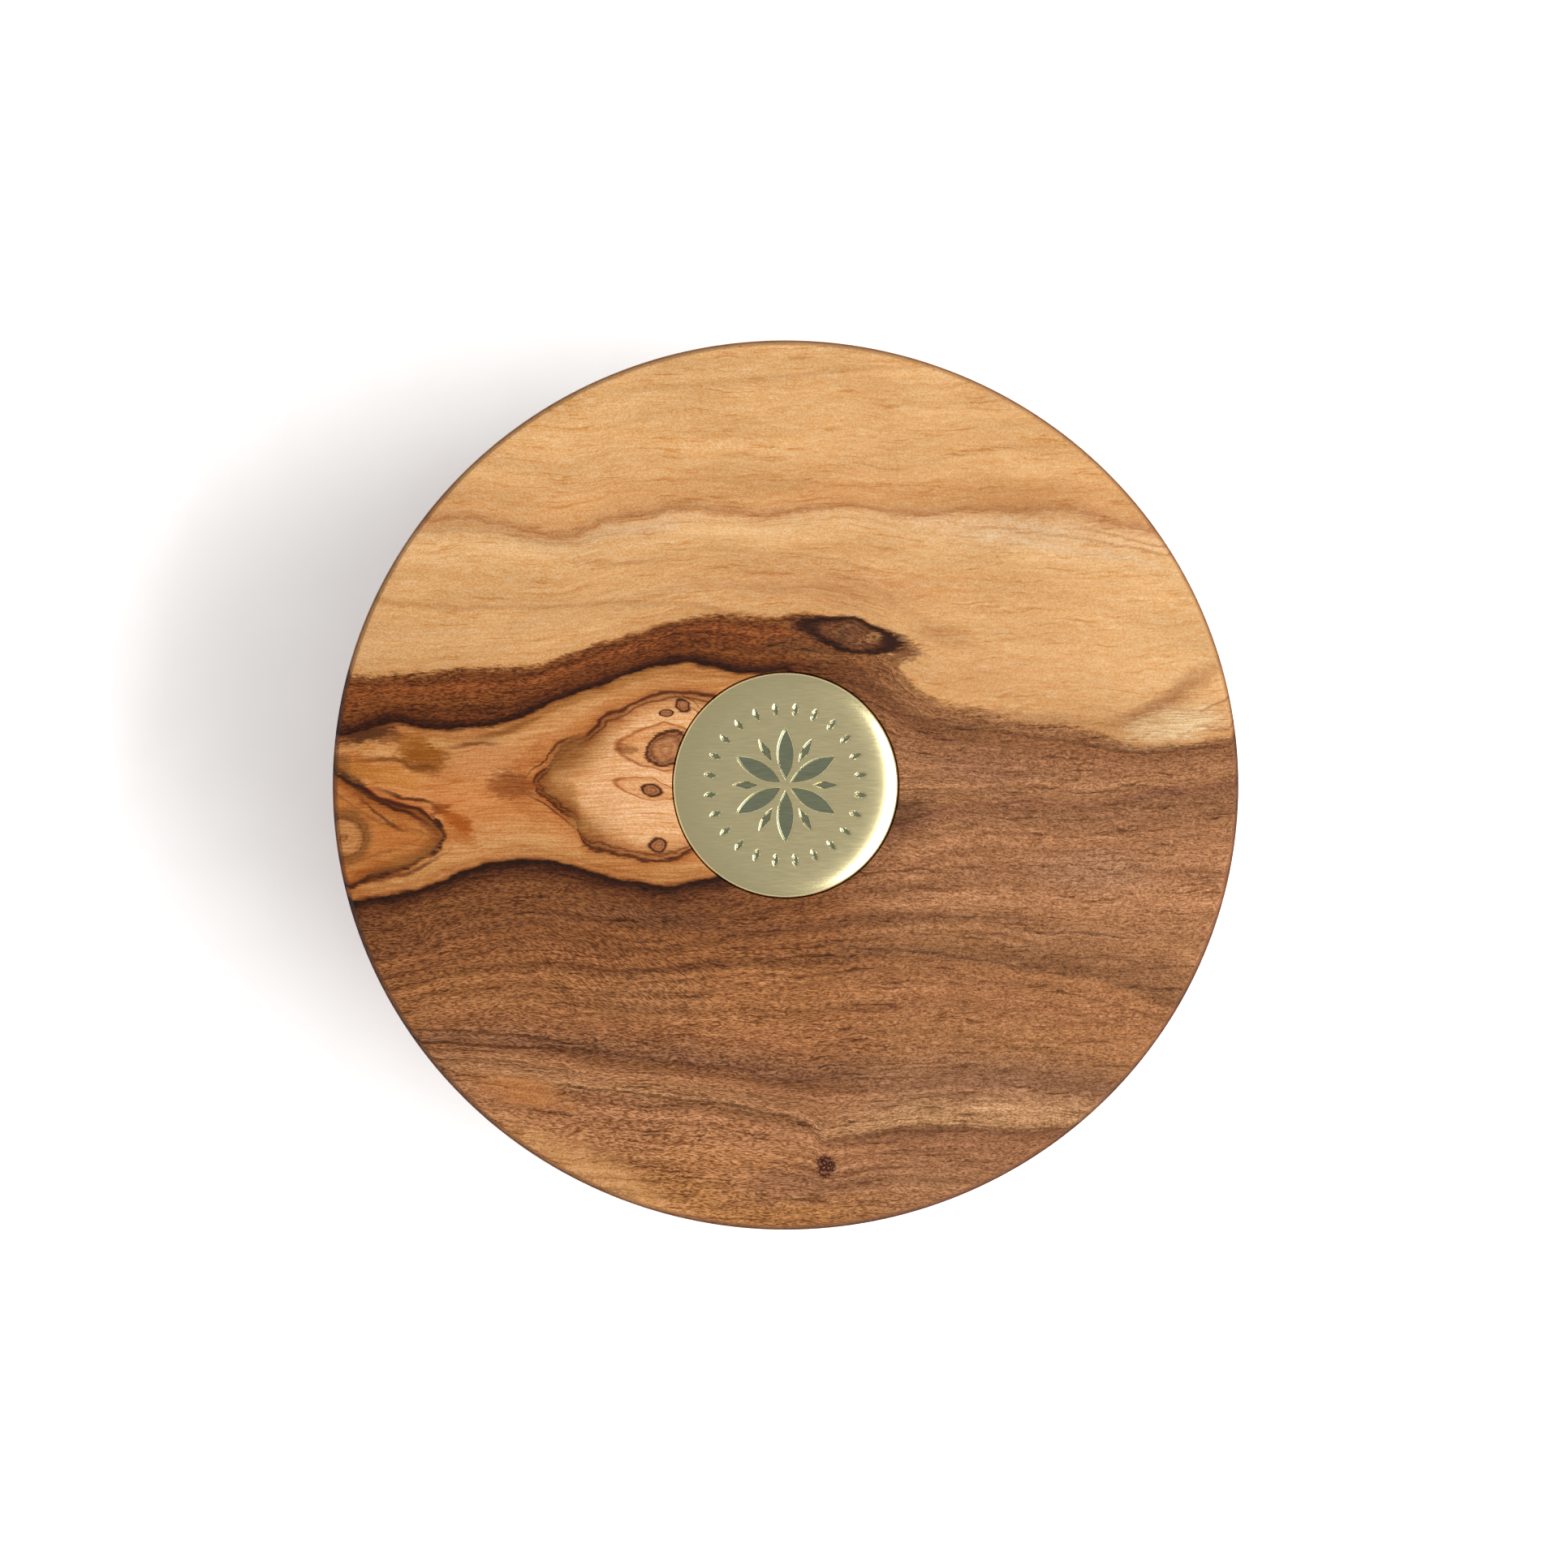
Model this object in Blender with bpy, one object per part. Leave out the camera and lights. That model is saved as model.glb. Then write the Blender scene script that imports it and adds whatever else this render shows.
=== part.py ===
"""A turned wooden salt keeper: a hollow bowl under a flat lid that swivels on a hidden pin.

Metres, +Z up. The origin is the centre of the foot, at table height. The grain runs along X, the
swivel pin stands in the wall at the back (+Y), and two magnets at the front (-Y) hold the lid shut.
"""

import math

import bmesh
import bpy

# Wood. The pieces were turned round, and then shrank across the grain as the wood seasoned.
TURNED_DIAMETER = 0.1010
CROSS_GRAIN_RATIO = 0.982
ARRIS_RADIUS = 0.0008

# Bowl
BOWL_HEIGHT = 0.0630
BELLY_HEIGHT = 0.0340
RIM_INSET = 0.0006
FOOT_INSET = 0.0105
FOOT_RING_WIDTH = 0.0070
FOOT_HOLLOW_DEPTH = 0.0012
FOOT_HOLLOW_SLOPE = 0.0012
WALL_THICKNESS = 0.0140
FLOOR_THICKNESS = 0.0085
CAVITY_FILLET = 0.0140
CAVITY_LIP_RADIUS = 0.0012

# Lid
LID_THICKNESS = 0.0126
LID_GAP = 0.0004
LID_UNDER_ARRIS = 0.0005

# Medallion: a coined brass disc with a low crown, sunk into the lid
MEDALLION_DIAMETER = 0.0250
MEDALLION_EDGE = 0.0012
MEDALLION_EDGE_RADIUS = 0.0002
MEDALLION_CROWN = 0.0005
MEDALLION_CROWN_POWER = 6
MEDALLION_PROUD = 0.0001

# Relief on the medallion: a six-petal rosette inside a ring of grains
RELIEF_DEPTH = 0.00015
PETAL_COUNT = 6
PETAL_START = 0.0006
PETAL_LENGTH = 0.0058
PETAL_WIDTH = 0.0019
GRAIN_COUNT = 24
GRAIN_SPACING = 0.0013
GRAIN_LENGTH = 0.0014
GRAIN_WIDTH = 0.0007

# Swivel: a headed steel pin held in a brass bush, on a nylon washer
PIN_RADIUS = 0.0025
PIN_SEAT_DEPTH = 0.0220
PIN_TIP_CHAMFER = 0.0005
PIN_HEAD_OVERHANG = 0.0009
PIN_HEAD_THICKNESS = 0.0015
PIN_HEAD_CHAMFER = 0.0003
KNURL_DEPTH = 0.0001
KNURL_LENGTH = 0.0140
BUSH_BEARING_LENGTH = 0.0050
BUSH_WALL = 0.0010
BUSH_HEADROOM = 0.0006
WASHER_MARGIN = 0.0005
WASHER_THICKNESS = 0.0008
WASHER_PROUD = 0.0002

# Magnets of the catch
MAGNET_RADIUS = 0.0040
MAGNET_THICKNESS = 0.0030
MAGNET_CHAMFER = 0.0003

# Fits
GLUE_LINE = 0.0002
RUNNING_CLEARANCE = 0.00015

# Smoothness of the round pieces, and of the curves in their profiles
WOOD_SEGMENTS = 72
METAL_SEGMENTS = 48
BELLY_STEPS = 9
SHOULDER_STEPS = 4
ARRIS_STEPS = 3
FILLET_STEPS = 7
CROWN_STEPS = 7
PETAL_STEPS = 6
SHARP_ANGLE = 35
CUTTER_OVERRUN = 0.0010
MERGE_DISTANCE = 1e-6

# Places worked out from the sizes above
TURNED_RADIUS = TURNED_DIAMETER / 2
RIM_RADIUS = TURNED_RADIUS - RIM_INSET
CAVITY_RADIUS = RIM_RADIUS - WALL_THICKNESS
FOOT_RADIUS = TURNED_RADIUS - FOOT_INSET
WALL_MIDDLE = (RIM_RADIUS + CAVITY_RADIUS) / 2 * CROSS_GRAIN_RATIO
LID_UNDERSIDE = BOWL_HEIGHT + LID_GAP
LID_TOP = LID_UNDERSIDE + LID_THICKNESS
MEDALLION_RADIUS = MEDALLION_DIAMETER / 2
MEDALLION_BASE = LID_TOP + MEDALLION_PROUD - MEDALLION_EDGE
BEARING_RADIUS = PIN_RADIUS + RUNNING_CLEARANCE
PIN_HEAD_RADIUS = PIN_RADIUS + PIN_HEAD_OVERHANG
BUSH_CHAMBER_RADIUS = PIN_HEAD_RADIUS + RUNNING_CLEARANCE
BUSH_RADIUS = BUSH_CHAMBER_RADIUS + BUSH_WALL
BEARING_TOP = LID_UNDERSIDE + BUSH_BEARING_LENGTH
PIN_HEAD_BASE = BEARING_TOP + RUNNING_CLEARANCE
PIN_TOP = PIN_HEAD_BASE + PIN_HEAD_THICKNESS
PIN_TIP = BOWL_HEIGHT - PIN_SEAT_DEPTH
BUSH_TOP = PIN_TOP + BUSH_HEADROOM
WASHER_RADIUS = BUSH_RADIUS + WASHER_MARGIN
WASHER_TOP = BOWL_HEIGHT + WASHER_PROUD
WASHER_BASE = WASHER_TOP - WASHER_THICKNESS


def clear_scene():
    for obj in list(bpy.data.objects):
        bpy.data.objects.remove(obj, do_unlink=True)


def linear(channel):
    """One sRGB channel, 0 to 255, as a linear value."""
    value = channel / 255
    if value <= 0.04045:
        return value / 12.92
    return ((value + 0.055) / 1.055) ** 2.4


def finish(name, colour, roughness, metallic=0.0):
    """A material of one colour, given as an sRGB hex value."""
    material = bpy.data.materials.new(name)
    material.use_nodes = True
    shader = material.node_tree.nodes["Principled BSDF"]
    channels = [int(colour[i : i + 2], 16) for i in (1, 3, 5)]
    shader.inputs["Base Color"].default_value = [linear(c) for c in channels] + [1.0]
    shader.inputs["Roughness"].default_value = roughness
    shader.inputs["Metallic"].default_value = metallic
    return material


def arc(centre, radius, start, end, steps):
    """Points of a round stretch of a profile, between two angles in degrees."""
    points = []
    for i in range(steps + 1):
        angle = math.radians(start + (end - start) * i / steps)
        points.append((centre[0] + radius * math.cos(angle), centre[1] + radius * math.sin(angle)))
    return points


def new_object(name, bm, place=(0, 0, 0)):
    """An object with the mesh, shaded smooth but for its corners."""
    bmesh.ops.recalc_face_normals(bm, faces=bm.faces)
    mesh = bpy.data.meshes.new(name)
    bm.to_mesh(mesh)
    bm.free()
    mesh.shade_smooth()
    mesh.set_sharp_from_angle(angle=math.radians(SHARP_ANGLE))
    obj = bpy.data.objects.new(name, mesh)
    obj.location = place
    bpy.context.scene.collection.objects.link(obj)
    return obj


def turned(profile, segments):
    """A solid spun about Z from (radius, height) points, which end on the axis or where they began."""
    bm = bmesh.new()
    corners = [bm.verts.new((radius, 0, height)) for radius, height in profile]
    lines = [bm.edges.new(pair) for pair in zip(corners, corners[1:])]
    bmesh.ops.spin(
        bm,
        geom=corners + lines,
        cent=(0, 0, 0),
        axis=(0, 0, 1),
        angle=math.tau,
        steps=segments,
        use_merge=True,
    )
    bmesh.ops.remove_doubles(bm, verts=bm.verts, dist=MERGE_DISTANCE)
    return bm


def seasoned(bm):
    """Narrows a piece of turned wood across its grain."""
    for corner in bm.verts:
        corner.co.y *= CROSS_GRAIN_RATIO
    return bm


def disc_profile(radius, base, top, chamfer=0.0):
    """A plain disc or rod, chamfered at both ends if asked."""
    if not chamfer:
        return [(0, base), (radius, base), (radius, top), (0, top)]
    return [
        (0, base),
        (radius - chamfer, base),
        (radius, base + chamfer),
        (radius, top - chamfer),
        (radius - chamfer, top),
        (0, top),
    ]


def prism(bm, outline, base, top):
    """Adds an upright prism over a flat outline of (x, y) points."""
    face = bm.faces.new([bm.verts.new((x, y, base)) for x, y in outline])
    raised = bmesh.ops.extrude_face_region(bm, geom=[face])["geom"]
    moved = [item for item in raised if isinstance(item, bmesh.types.BMVert)]
    bmesh.ops.translate(bm, verts=moved, vec=(0, 0, top - base))


def cut(obj, name, bm, place=(0, 0, 0)):
    """Takes the shape in bm out of the object."""
    cutter = new_object(name, bm, place)
    cutter.hide_render = True
    cutter.display_type = "WIRE"
    modifier = obj.modifiers.new(name, "BOOLEAN")
    modifier.operation = "DIFFERENCE"
    modifier.object = cutter


def bore(obj, name, radius, base, top, place):
    """Takes a round pocket out of the object."""
    cut(obj, name, turned(disc_profile(radius, base, top), METAL_SEGMENTS), place)


def pivot_seat_profile():
    """The stepped hole in the bowl's rim: the pin's seat, and the washer's pocket above it."""
    seat_radius = PIN_RADIUS + KNURL_DEPTH + GLUE_LINE
    pocket_radius = WASHER_RADIUS + GLUE_LINE
    pocket_floor = WASHER_BASE - GLUE_LINE
    above = BOWL_HEIGHT + CUTTER_OVERRUN
    return [
        (0, PIN_TIP - GLUE_LINE),
        (seat_radius, PIN_TIP - GLUE_LINE),
        (seat_radius, pocket_floor),
        (pocket_radius, pocket_floor),
        (pocket_radius, above),
        (0, above),
    ]


def bowl_outside():
    """The outer profile, from the foot up over the belly to the rim."""
    points = [
        (FOOT_RADIUS - FOOT_RING_WIDTH - FOOT_HOLLOW_SLOPE, FOOT_HOLLOW_DEPTH),
        (FOOT_RADIUS - FOOT_RING_WIDTH, 0),
    ]
    for i in range(BELLY_STEPS + 1):
        turn = math.radians(90) * i / BELLY_STEPS
        radius = FOOT_RADIUS + FOOT_INSET * math.sin(turn)
        points.append((radius, BELLY_HEIGHT * (1 - math.cos(turn))))
    shoulder = BOWL_HEIGHT - ARRIS_RADIUS
    for i in range(1, SHOULDER_STEPS):
        share = i / SHOULDER_STEPS
        radius = TURNED_RADIUS - RIM_INSET * share**2
        points.append((radius, BELLY_HEIGHT + (shoulder - BELLY_HEIGHT) * share))
    return points + arc((RIM_RADIUS - ARRIS_RADIUS, shoulder), ARRIS_RADIUS, 0, 90, ARRIS_STEPS)


def bowl_inside():
    """The cavity's profile, from the lip down the wall and across the floor."""
    lip = (CAVITY_RADIUS + CAVITY_LIP_RADIUS, BOWL_HEIGHT - CAVITY_LIP_RADIUS)
    corner = (CAVITY_RADIUS - CAVITY_FILLET, FLOOR_THICKNESS + CAVITY_FILLET)
    wall_top = arc(lip, CAVITY_LIP_RADIUS, 90, 180, ARRIS_STEPS)
    return wall_top + arc(corner, CAVITY_FILLET, 0, -90, FILLET_STEPS)


def make_bowl(wood):
    """The hollow bowl, with a seat for the pin and pockets for the washer and the magnet."""
    profile = [(0, FOOT_HOLLOW_DEPTH)] + bowl_outside() + bowl_inside() + [(0, FLOOR_THICKNESS)]
    bowl = new_object("bowl", seasoned(turned(profile, WOOD_SEGMENTS)))
    bowl.data.materials.append(wood)
    seat = turned(pivot_seat_profile(), METAL_SEGMENTS)
    cut(bowl, "cut_pivot_seat", seat, (0, WALL_MIDDLE, 0))
    floor = BOWL_HEIGHT - MAGNET_THICKNESS - GLUE_LINE
    above = BOWL_HEIGHT + CUTTER_OVERRUN
    front = (0, -WALL_MIDDLE, 0)
    bore(bowl, "cut_bowl_magnet_pocket", MAGNET_RADIUS + GLUE_LINE, floor, above, front)
    return bowl


def make_lid(wood):
    """The lid, with pockets for the medallion above and for the bush and the magnet below."""
    under = (TURNED_RADIUS - LID_UNDER_ARRIS, LID_UNDERSIDE + LID_UNDER_ARRIS)
    over = (TURNED_RADIUS - ARRIS_RADIUS, LID_TOP - ARRIS_RADIUS)
    profile = [(0, LID_UNDERSIDE)] + arc(under, LID_UNDER_ARRIS, -90, 0, ARRIS_STEPS)
    profile += arc(over, ARRIS_RADIUS, 0, 90, ARRIS_STEPS) + [(0, LID_TOP)]
    lid = new_object("lid", seasoned(turned(profile, WOOD_SEGMENTS)))
    lid.data.materials.append(wood)
    above = LID_TOP + CUTTER_OVERRUN
    below = LID_UNDERSIDE - CUTTER_OVERRUN
    recess_floor = MEDALLION_BASE - GLUE_LINE
    recess = turned(
        disc_profile(MEDALLION_RADIUS + GLUE_LINE, recess_floor, above), WOOD_SEGMENTS
    )
    cut(lid, "cut_medallion_recess", recess)
    back = (0, WALL_MIDDLE, 0)
    front = (0, -WALL_MIDDLE, 0)
    bore(lid, "cut_bush_seat", BUSH_RADIUS + GLUE_LINE, below, BUSH_TOP + GLUE_LINE, back)
    roof = LID_UNDERSIDE + MAGNET_THICKNESS + GLUE_LINE
    bore(lid, "cut_lid_magnet_pocket", MAGNET_RADIUS + GLUE_LINE, below, roof, front)
    return lid


def crown_height(radius):
    """Height of the medallion's face at this distance from its centre."""
    fall = (radius / (MEDALLION_RADIUS - MEDALLION_EDGE_RADIUS)) ** MEDALLION_CROWN_POWER
    return MEDALLION_BASE + MEDALLION_EDGE + MEDALLION_CROWN * (1 - fall)


def lens(start, length, width, angle):
    """The outline of a pointed petal that lies along a ray from the centre."""
    shares = [i / PETAL_STEPS for i in range(PETAL_STEPS + 1)]
    upper = [(start + length * u, 2 * width * u * (1 - u)) for u in shares]
    lower = [(along, -across) for along, across in reversed(upper[1:-1])]
    cosine = math.cos(angle)
    sine = math.sin(angle)
    return [(a * cosine - b * sine, a * sine + b * cosine) for a, b in upper + lower]


def add_petals(bm, count, start, length, width):
    """Adds a ring of petals that reach from the relief's floor to above the face."""
    floor = crown_height(start + length) - RELIEF_DEPTH
    above = crown_height(0) + CUTTER_OVERRUN
    for i in range(count):
        prism(bm, lens(start, length, width, math.tau * (i + 0.5) / count), floor, above)


def make_medallion(brass):
    """The domed disc, with its rosette and its ring of grains sunk into the face."""
    edge_top = MEDALLION_BASE + MEDALLION_EDGE - MEDALLION_EDGE_RADIUS
    shoulder = (MEDALLION_RADIUS - MEDALLION_EDGE_RADIUS, edge_top)
    profile = [(0, MEDALLION_BASE), (MEDALLION_RADIUS, MEDALLION_BASE)]
    profile += arc(shoulder, MEDALLION_EDGE_RADIUS, 0, 90, ARRIS_STEPS)
    for i in range(1, CROWN_STEPS):
        radius = shoulder[0] * math.cos(math.radians(90) * i / CROWN_STEPS)
        profile.append((radius, crown_height(radius)))
    profile.append((0, crown_height(0)))
    medallion = new_object("medallion", turned(profile, WOOD_SEGMENTS))
    medallion.data.materials.append(brass)
    relief = bmesh.new()
    add_petals(relief, PETAL_COUNT, PETAL_START, PETAL_LENGTH, PETAL_WIDTH)
    grain_start = PETAL_START + PETAL_LENGTH + GRAIN_SPACING
    add_petals(relief, GRAIN_COUNT, grain_start, GRAIN_LENGTH, GRAIN_WIDTH)
    cut(medallion, "cut_relief", relief)
    return medallion


def knurl(bm, base, top):
    """Raises every second rib of a rod between two heights."""
    for corner in bm.verts:
        rib = round(math.atan2(corner.co.y, corner.co.x) / math.tau * METAL_SEGMENTS)
        if base - MERGE_DISTANCE <= corner.co.z <= top + MERGE_DISTANCE and rib % 2:
            corner.co.xy *= 1 + KNURL_DEPTH / PIN_RADIUS
    return bm


def make_pivot_pin(steel):
    """The steel pin: a knurled foot glued into the bowl, a plain shank, and a head inside the bush."""
    knurl_base = PIN_TIP + 2 * PIN_TIP_CHAMFER
    knurl_top = knurl_base + KNURL_LENGTH
    profile = [
        (0, PIN_TIP),
        (PIN_RADIUS - PIN_TIP_CHAMFER, PIN_TIP),
        (PIN_RADIUS, PIN_TIP + PIN_TIP_CHAMFER),
        (PIN_RADIUS, knurl_base),
        (PIN_RADIUS, knurl_top),
        (PIN_RADIUS, knurl_top + PIN_TIP_CHAMFER),
        (PIN_RADIUS, PIN_HEAD_BASE),
        (PIN_HEAD_RADIUS, PIN_HEAD_BASE),
        (PIN_HEAD_RADIUS, PIN_TOP - PIN_HEAD_CHAMFER),
        (PIN_HEAD_RADIUS - PIN_HEAD_CHAMFER, PIN_TOP),
        (0, PIN_TOP),
    ]
    bm = knurl(turned(profile, METAL_SEGMENTS), knurl_base, knurl_top)
    pin = new_object("pivot_pin", bm, (0, WALL_MIDDLE, 0))
    pin.data.materials.append(steel)
    return pin


def make_pivot_bush(brass):
    """The brass bush in the lid: a long bearing below and a chamber for the pin's head above."""
    profile = [
        (BEARING_RADIUS, LID_UNDERSIDE),
        (BUSH_RADIUS, LID_UNDERSIDE),
        (BUSH_RADIUS, BUSH_TOP),
        (BUSH_CHAMBER_RADIUS, BUSH_TOP),
        (BUSH_CHAMBER_RADIUS, BEARING_TOP),
        (BEARING_RADIUS, BEARING_TOP),
        (BEARING_RADIUS, LID_UNDERSIDE),
    ]
    bush = new_object("pivot_bush", turned(profile, METAL_SEGMENTS), (0, WALL_MIDDLE, 0))
    bush.data.materials.append(brass)
    return bush


def make_pivot_washer(nylon):
    """The nylon washer, sunk into the rim so that it stands just proud of it."""
    profile = [
        (BEARING_RADIUS, WASHER_BASE),
        (WASHER_RADIUS, WASHER_BASE),
        (WASHER_RADIUS, WASHER_TOP),
        (BEARING_RADIUS, WASHER_TOP),
        (BEARING_RADIUS, WASHER_BASE),
    ]
    washer = new_object("pivot_washer", turned(profile, METAL_SEGMENTS), (0, WALL_MIDDLE, 0))
    washer.data.materials.append(nylon)
    return washer


def make_magnet(name, base, nickel):
    """A plated disc magnet, flush with the wood that it is glued into."""
    profile = disc_profile(MAGNET_RADIUS, base, base + MAGNET_THICKNESS, MAGNET_CHAMFER)
    magnet = new_object(name, turned(profile, METAL_SEGMENTS), (0, -WALL_MIDDLE, 0))
    magnet.data.materials.append(nickel)
    return magnet


def hang_on_pivot(pieces):
    """Parents the pieces that swing with the lid to an empty on the pin's axis."""
    pivot = bpy.data.objects.new("lid_swivel", None)
    pivot.location = (0, WALL_MIDDLE, BOWL_HEIGHT)
    pivot.empty_display_size = PIN_SEAT_DEPTH
    bpy.context.scene.collection.objects.link(pivot)
    for piece in pieces:
        piece.parent = pivot
        piece.location = piece.location - pivot.location
    cutters = [m.object for piece in pieces for m in piece.modifiers]
    for cutter in cutters:
        cutter.parent = pivot
        cutter.location = cutter.location - pivot.location


def main():
    clear_scene()
    wood = finish("oiled_olive_wood", "#B07A4C", 0.45)
    brass = finish("satin_brass", "#A39A74", 0.35, metallic=1.0)
    bearing_brass = finish("turned_brass", "#C9A85E", 0.30, metallic=1.0)
    steel = finish("stainless_steel", "#B9BBBD", 0.25, metallic=1.0)
    nylon = finish("natural_nylon", "#E6E2D6", 0.55)
    nickel = finish("nickel_plate", "#C6C5C0", 0.20, metallic=1.0)

    make_bowl(wood)
    make_pivot_pin(steel)
    make_pivot_washer(nylon)
    make_magnet("bowl_magnet", BOWL_HEIGHT - MAGNET_THICKNESS, nickel)

    lid = make_lid(wood)
    medallion = make_medallion(brass)
    bush = make_pivot_bush(bearing_brass)
    lid_magnet = make_magnet("lid_magnet", LID_UNDERSIDE, nickel)
    hang_on_pivot([lid, medallion, bush, lid_magnet])


main()
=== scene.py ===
"""The looks of a turned olive-wood salt keeper: a bowl under a lid that swivels on a hidden pin.

The camera looks straight down on the shut lid, with the grain from left to right.
"""

import math

import bmesh
import bpy
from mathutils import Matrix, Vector


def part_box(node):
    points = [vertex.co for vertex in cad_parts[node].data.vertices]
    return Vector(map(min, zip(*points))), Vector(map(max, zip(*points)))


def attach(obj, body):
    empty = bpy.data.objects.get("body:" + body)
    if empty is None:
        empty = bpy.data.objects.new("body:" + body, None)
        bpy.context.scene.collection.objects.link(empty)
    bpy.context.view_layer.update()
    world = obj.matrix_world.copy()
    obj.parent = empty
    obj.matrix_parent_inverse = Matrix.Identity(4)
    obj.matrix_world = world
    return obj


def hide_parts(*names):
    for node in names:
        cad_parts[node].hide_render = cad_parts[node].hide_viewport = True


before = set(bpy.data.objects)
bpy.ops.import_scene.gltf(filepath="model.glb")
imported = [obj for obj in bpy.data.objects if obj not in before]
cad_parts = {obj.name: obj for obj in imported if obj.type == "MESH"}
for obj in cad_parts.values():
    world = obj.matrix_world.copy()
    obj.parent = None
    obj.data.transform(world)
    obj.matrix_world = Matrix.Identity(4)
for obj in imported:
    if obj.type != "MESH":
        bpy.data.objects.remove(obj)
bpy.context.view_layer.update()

bl_info = {
    "name": "Olive-wood salt keeper",
    "version": (1, 0, 0),
    "blender": (4, 5, 0),
    "location": "3D View > Sidebar > Keeper",
    "description": "Dresses a wooden salt keeper with a swivel lid and a brass medallion",
    "category": "Object",
}

MM = 0.001

# Places and sizes read from the frame
BOWL_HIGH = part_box("bowl")[1]
LID_LOW, LID_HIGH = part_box("lid")
MEDALLION_LOW, MEDALLION_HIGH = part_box("medallion")
PIN_LOW, PIN_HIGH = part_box("pivot_pin")
BUSH_LOW, BUSH_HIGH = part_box("pivot_bush")
WASHER_LOW, WASHER_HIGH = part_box("pivot_washer")
BOWL_MAGNET_LOW, BOWL_MAGNET_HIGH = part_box("bowl_magnet")
LID_MAGNET_LOW, LID_MAGNET_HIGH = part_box("lid_magnet")
PIVOT = (0, (PIN_LOW.y + PIN_HIGH.y) / 2)
CATCH = (0, (LID_MAGNET_LOW.y + LID_MAGNET_HIGH.y) / 2)
CROSS_GRAIN_RATIO = (LID_HIGH.y - LID_LOW.y) / (LID_HIGH.x - LID_LOW.x)

# How many steps a full turn of each round shape has
WOOD_STEPS = 256
HOLE_STEPS = 64
MEDALLION_STEPS = 480
PIN_STEPS = 144
RING_STEPS = 96

# Corners sharper than this, in degrees, stay sharp
SHARP_CORNER = 35

# Rounding of the foot's outer edge, and steps up the belly and up the wall above it
FOOT_EDGE = 0.3 * MM
BELLY_STEPS = 32
WALL_STEPS = 16

# How far past the medallion the lid stays round, though the rest has shrunk across the grain
ROUND_MARGIN = 1.0 * MM

# The pin: the rounding of its foot, the knurl's ends above the foot and the slope at each, the
# rounding of its head and how far that lies below the top, and how many steps each rib takes up
FOOT_ROUNDING = 0.5 * MM
KNURL_SPAN = (1.0 * MM, 15.0 * MM)
KNURL_SLOPE = 0.2 * MM
HEAD_ROUNDING = 0.3 * MM
HEAD_DROP = 0.35 * MM
STEPS_PER_RIB = 3

# Places closer than this are one
SAME_PLACE = 1e-7

# Marks struck in the medallion: start, length, half width, and how far each is turned, as a share of
# the step from one to the next. A floor struck deeper than the share keeps its tarnish.
LONG_PETAL = (0.6 * MM, 5.8 * MM, 0.95 * MM, 0.5)
SHORT_PETAL = (3.0 * MM, 2.9 * MM, 0.42 * MM, 0.0)
GRAIN = (7.7 * MM, 1.4 * MM, 0.35 * MM, 0.5)
TARNISHED_SHARE = 0.6

# Rings of the medallion's face: their spacing, how many there are, and how many more reach its rim
FACE_STEP = 0.12 * MM
FACE_RINGS = 84
RIM_RINGS = 16

# The paper's half size, and its drop below the foot
PAPER_SIZE = 3.0
PAPER_DROP = 0.02 * MM

# The key light's length and width, and its place from the middle of the lid's top
KEY_SIZE = (0.55, 0.34)
KEY_PLACE = Vector((0.338, -0.078, 0.514))

# Between these heights on a sphere of radius 1, the white walls give way to the grey ceiling
WALL_TOP = 0.12
CEILING_EDGE = 0.55

# The camera's place from the lid's middle, and its lens and film in mm
CAMERA_PLACE = (-0.18 * MM, 0.12 * MM)
LENS = 100
FILM_WIDTH = 36

# Half the board that the lid was turned from, in mm. The figure's lines cross all of it.
BOARD = 52.0

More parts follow.
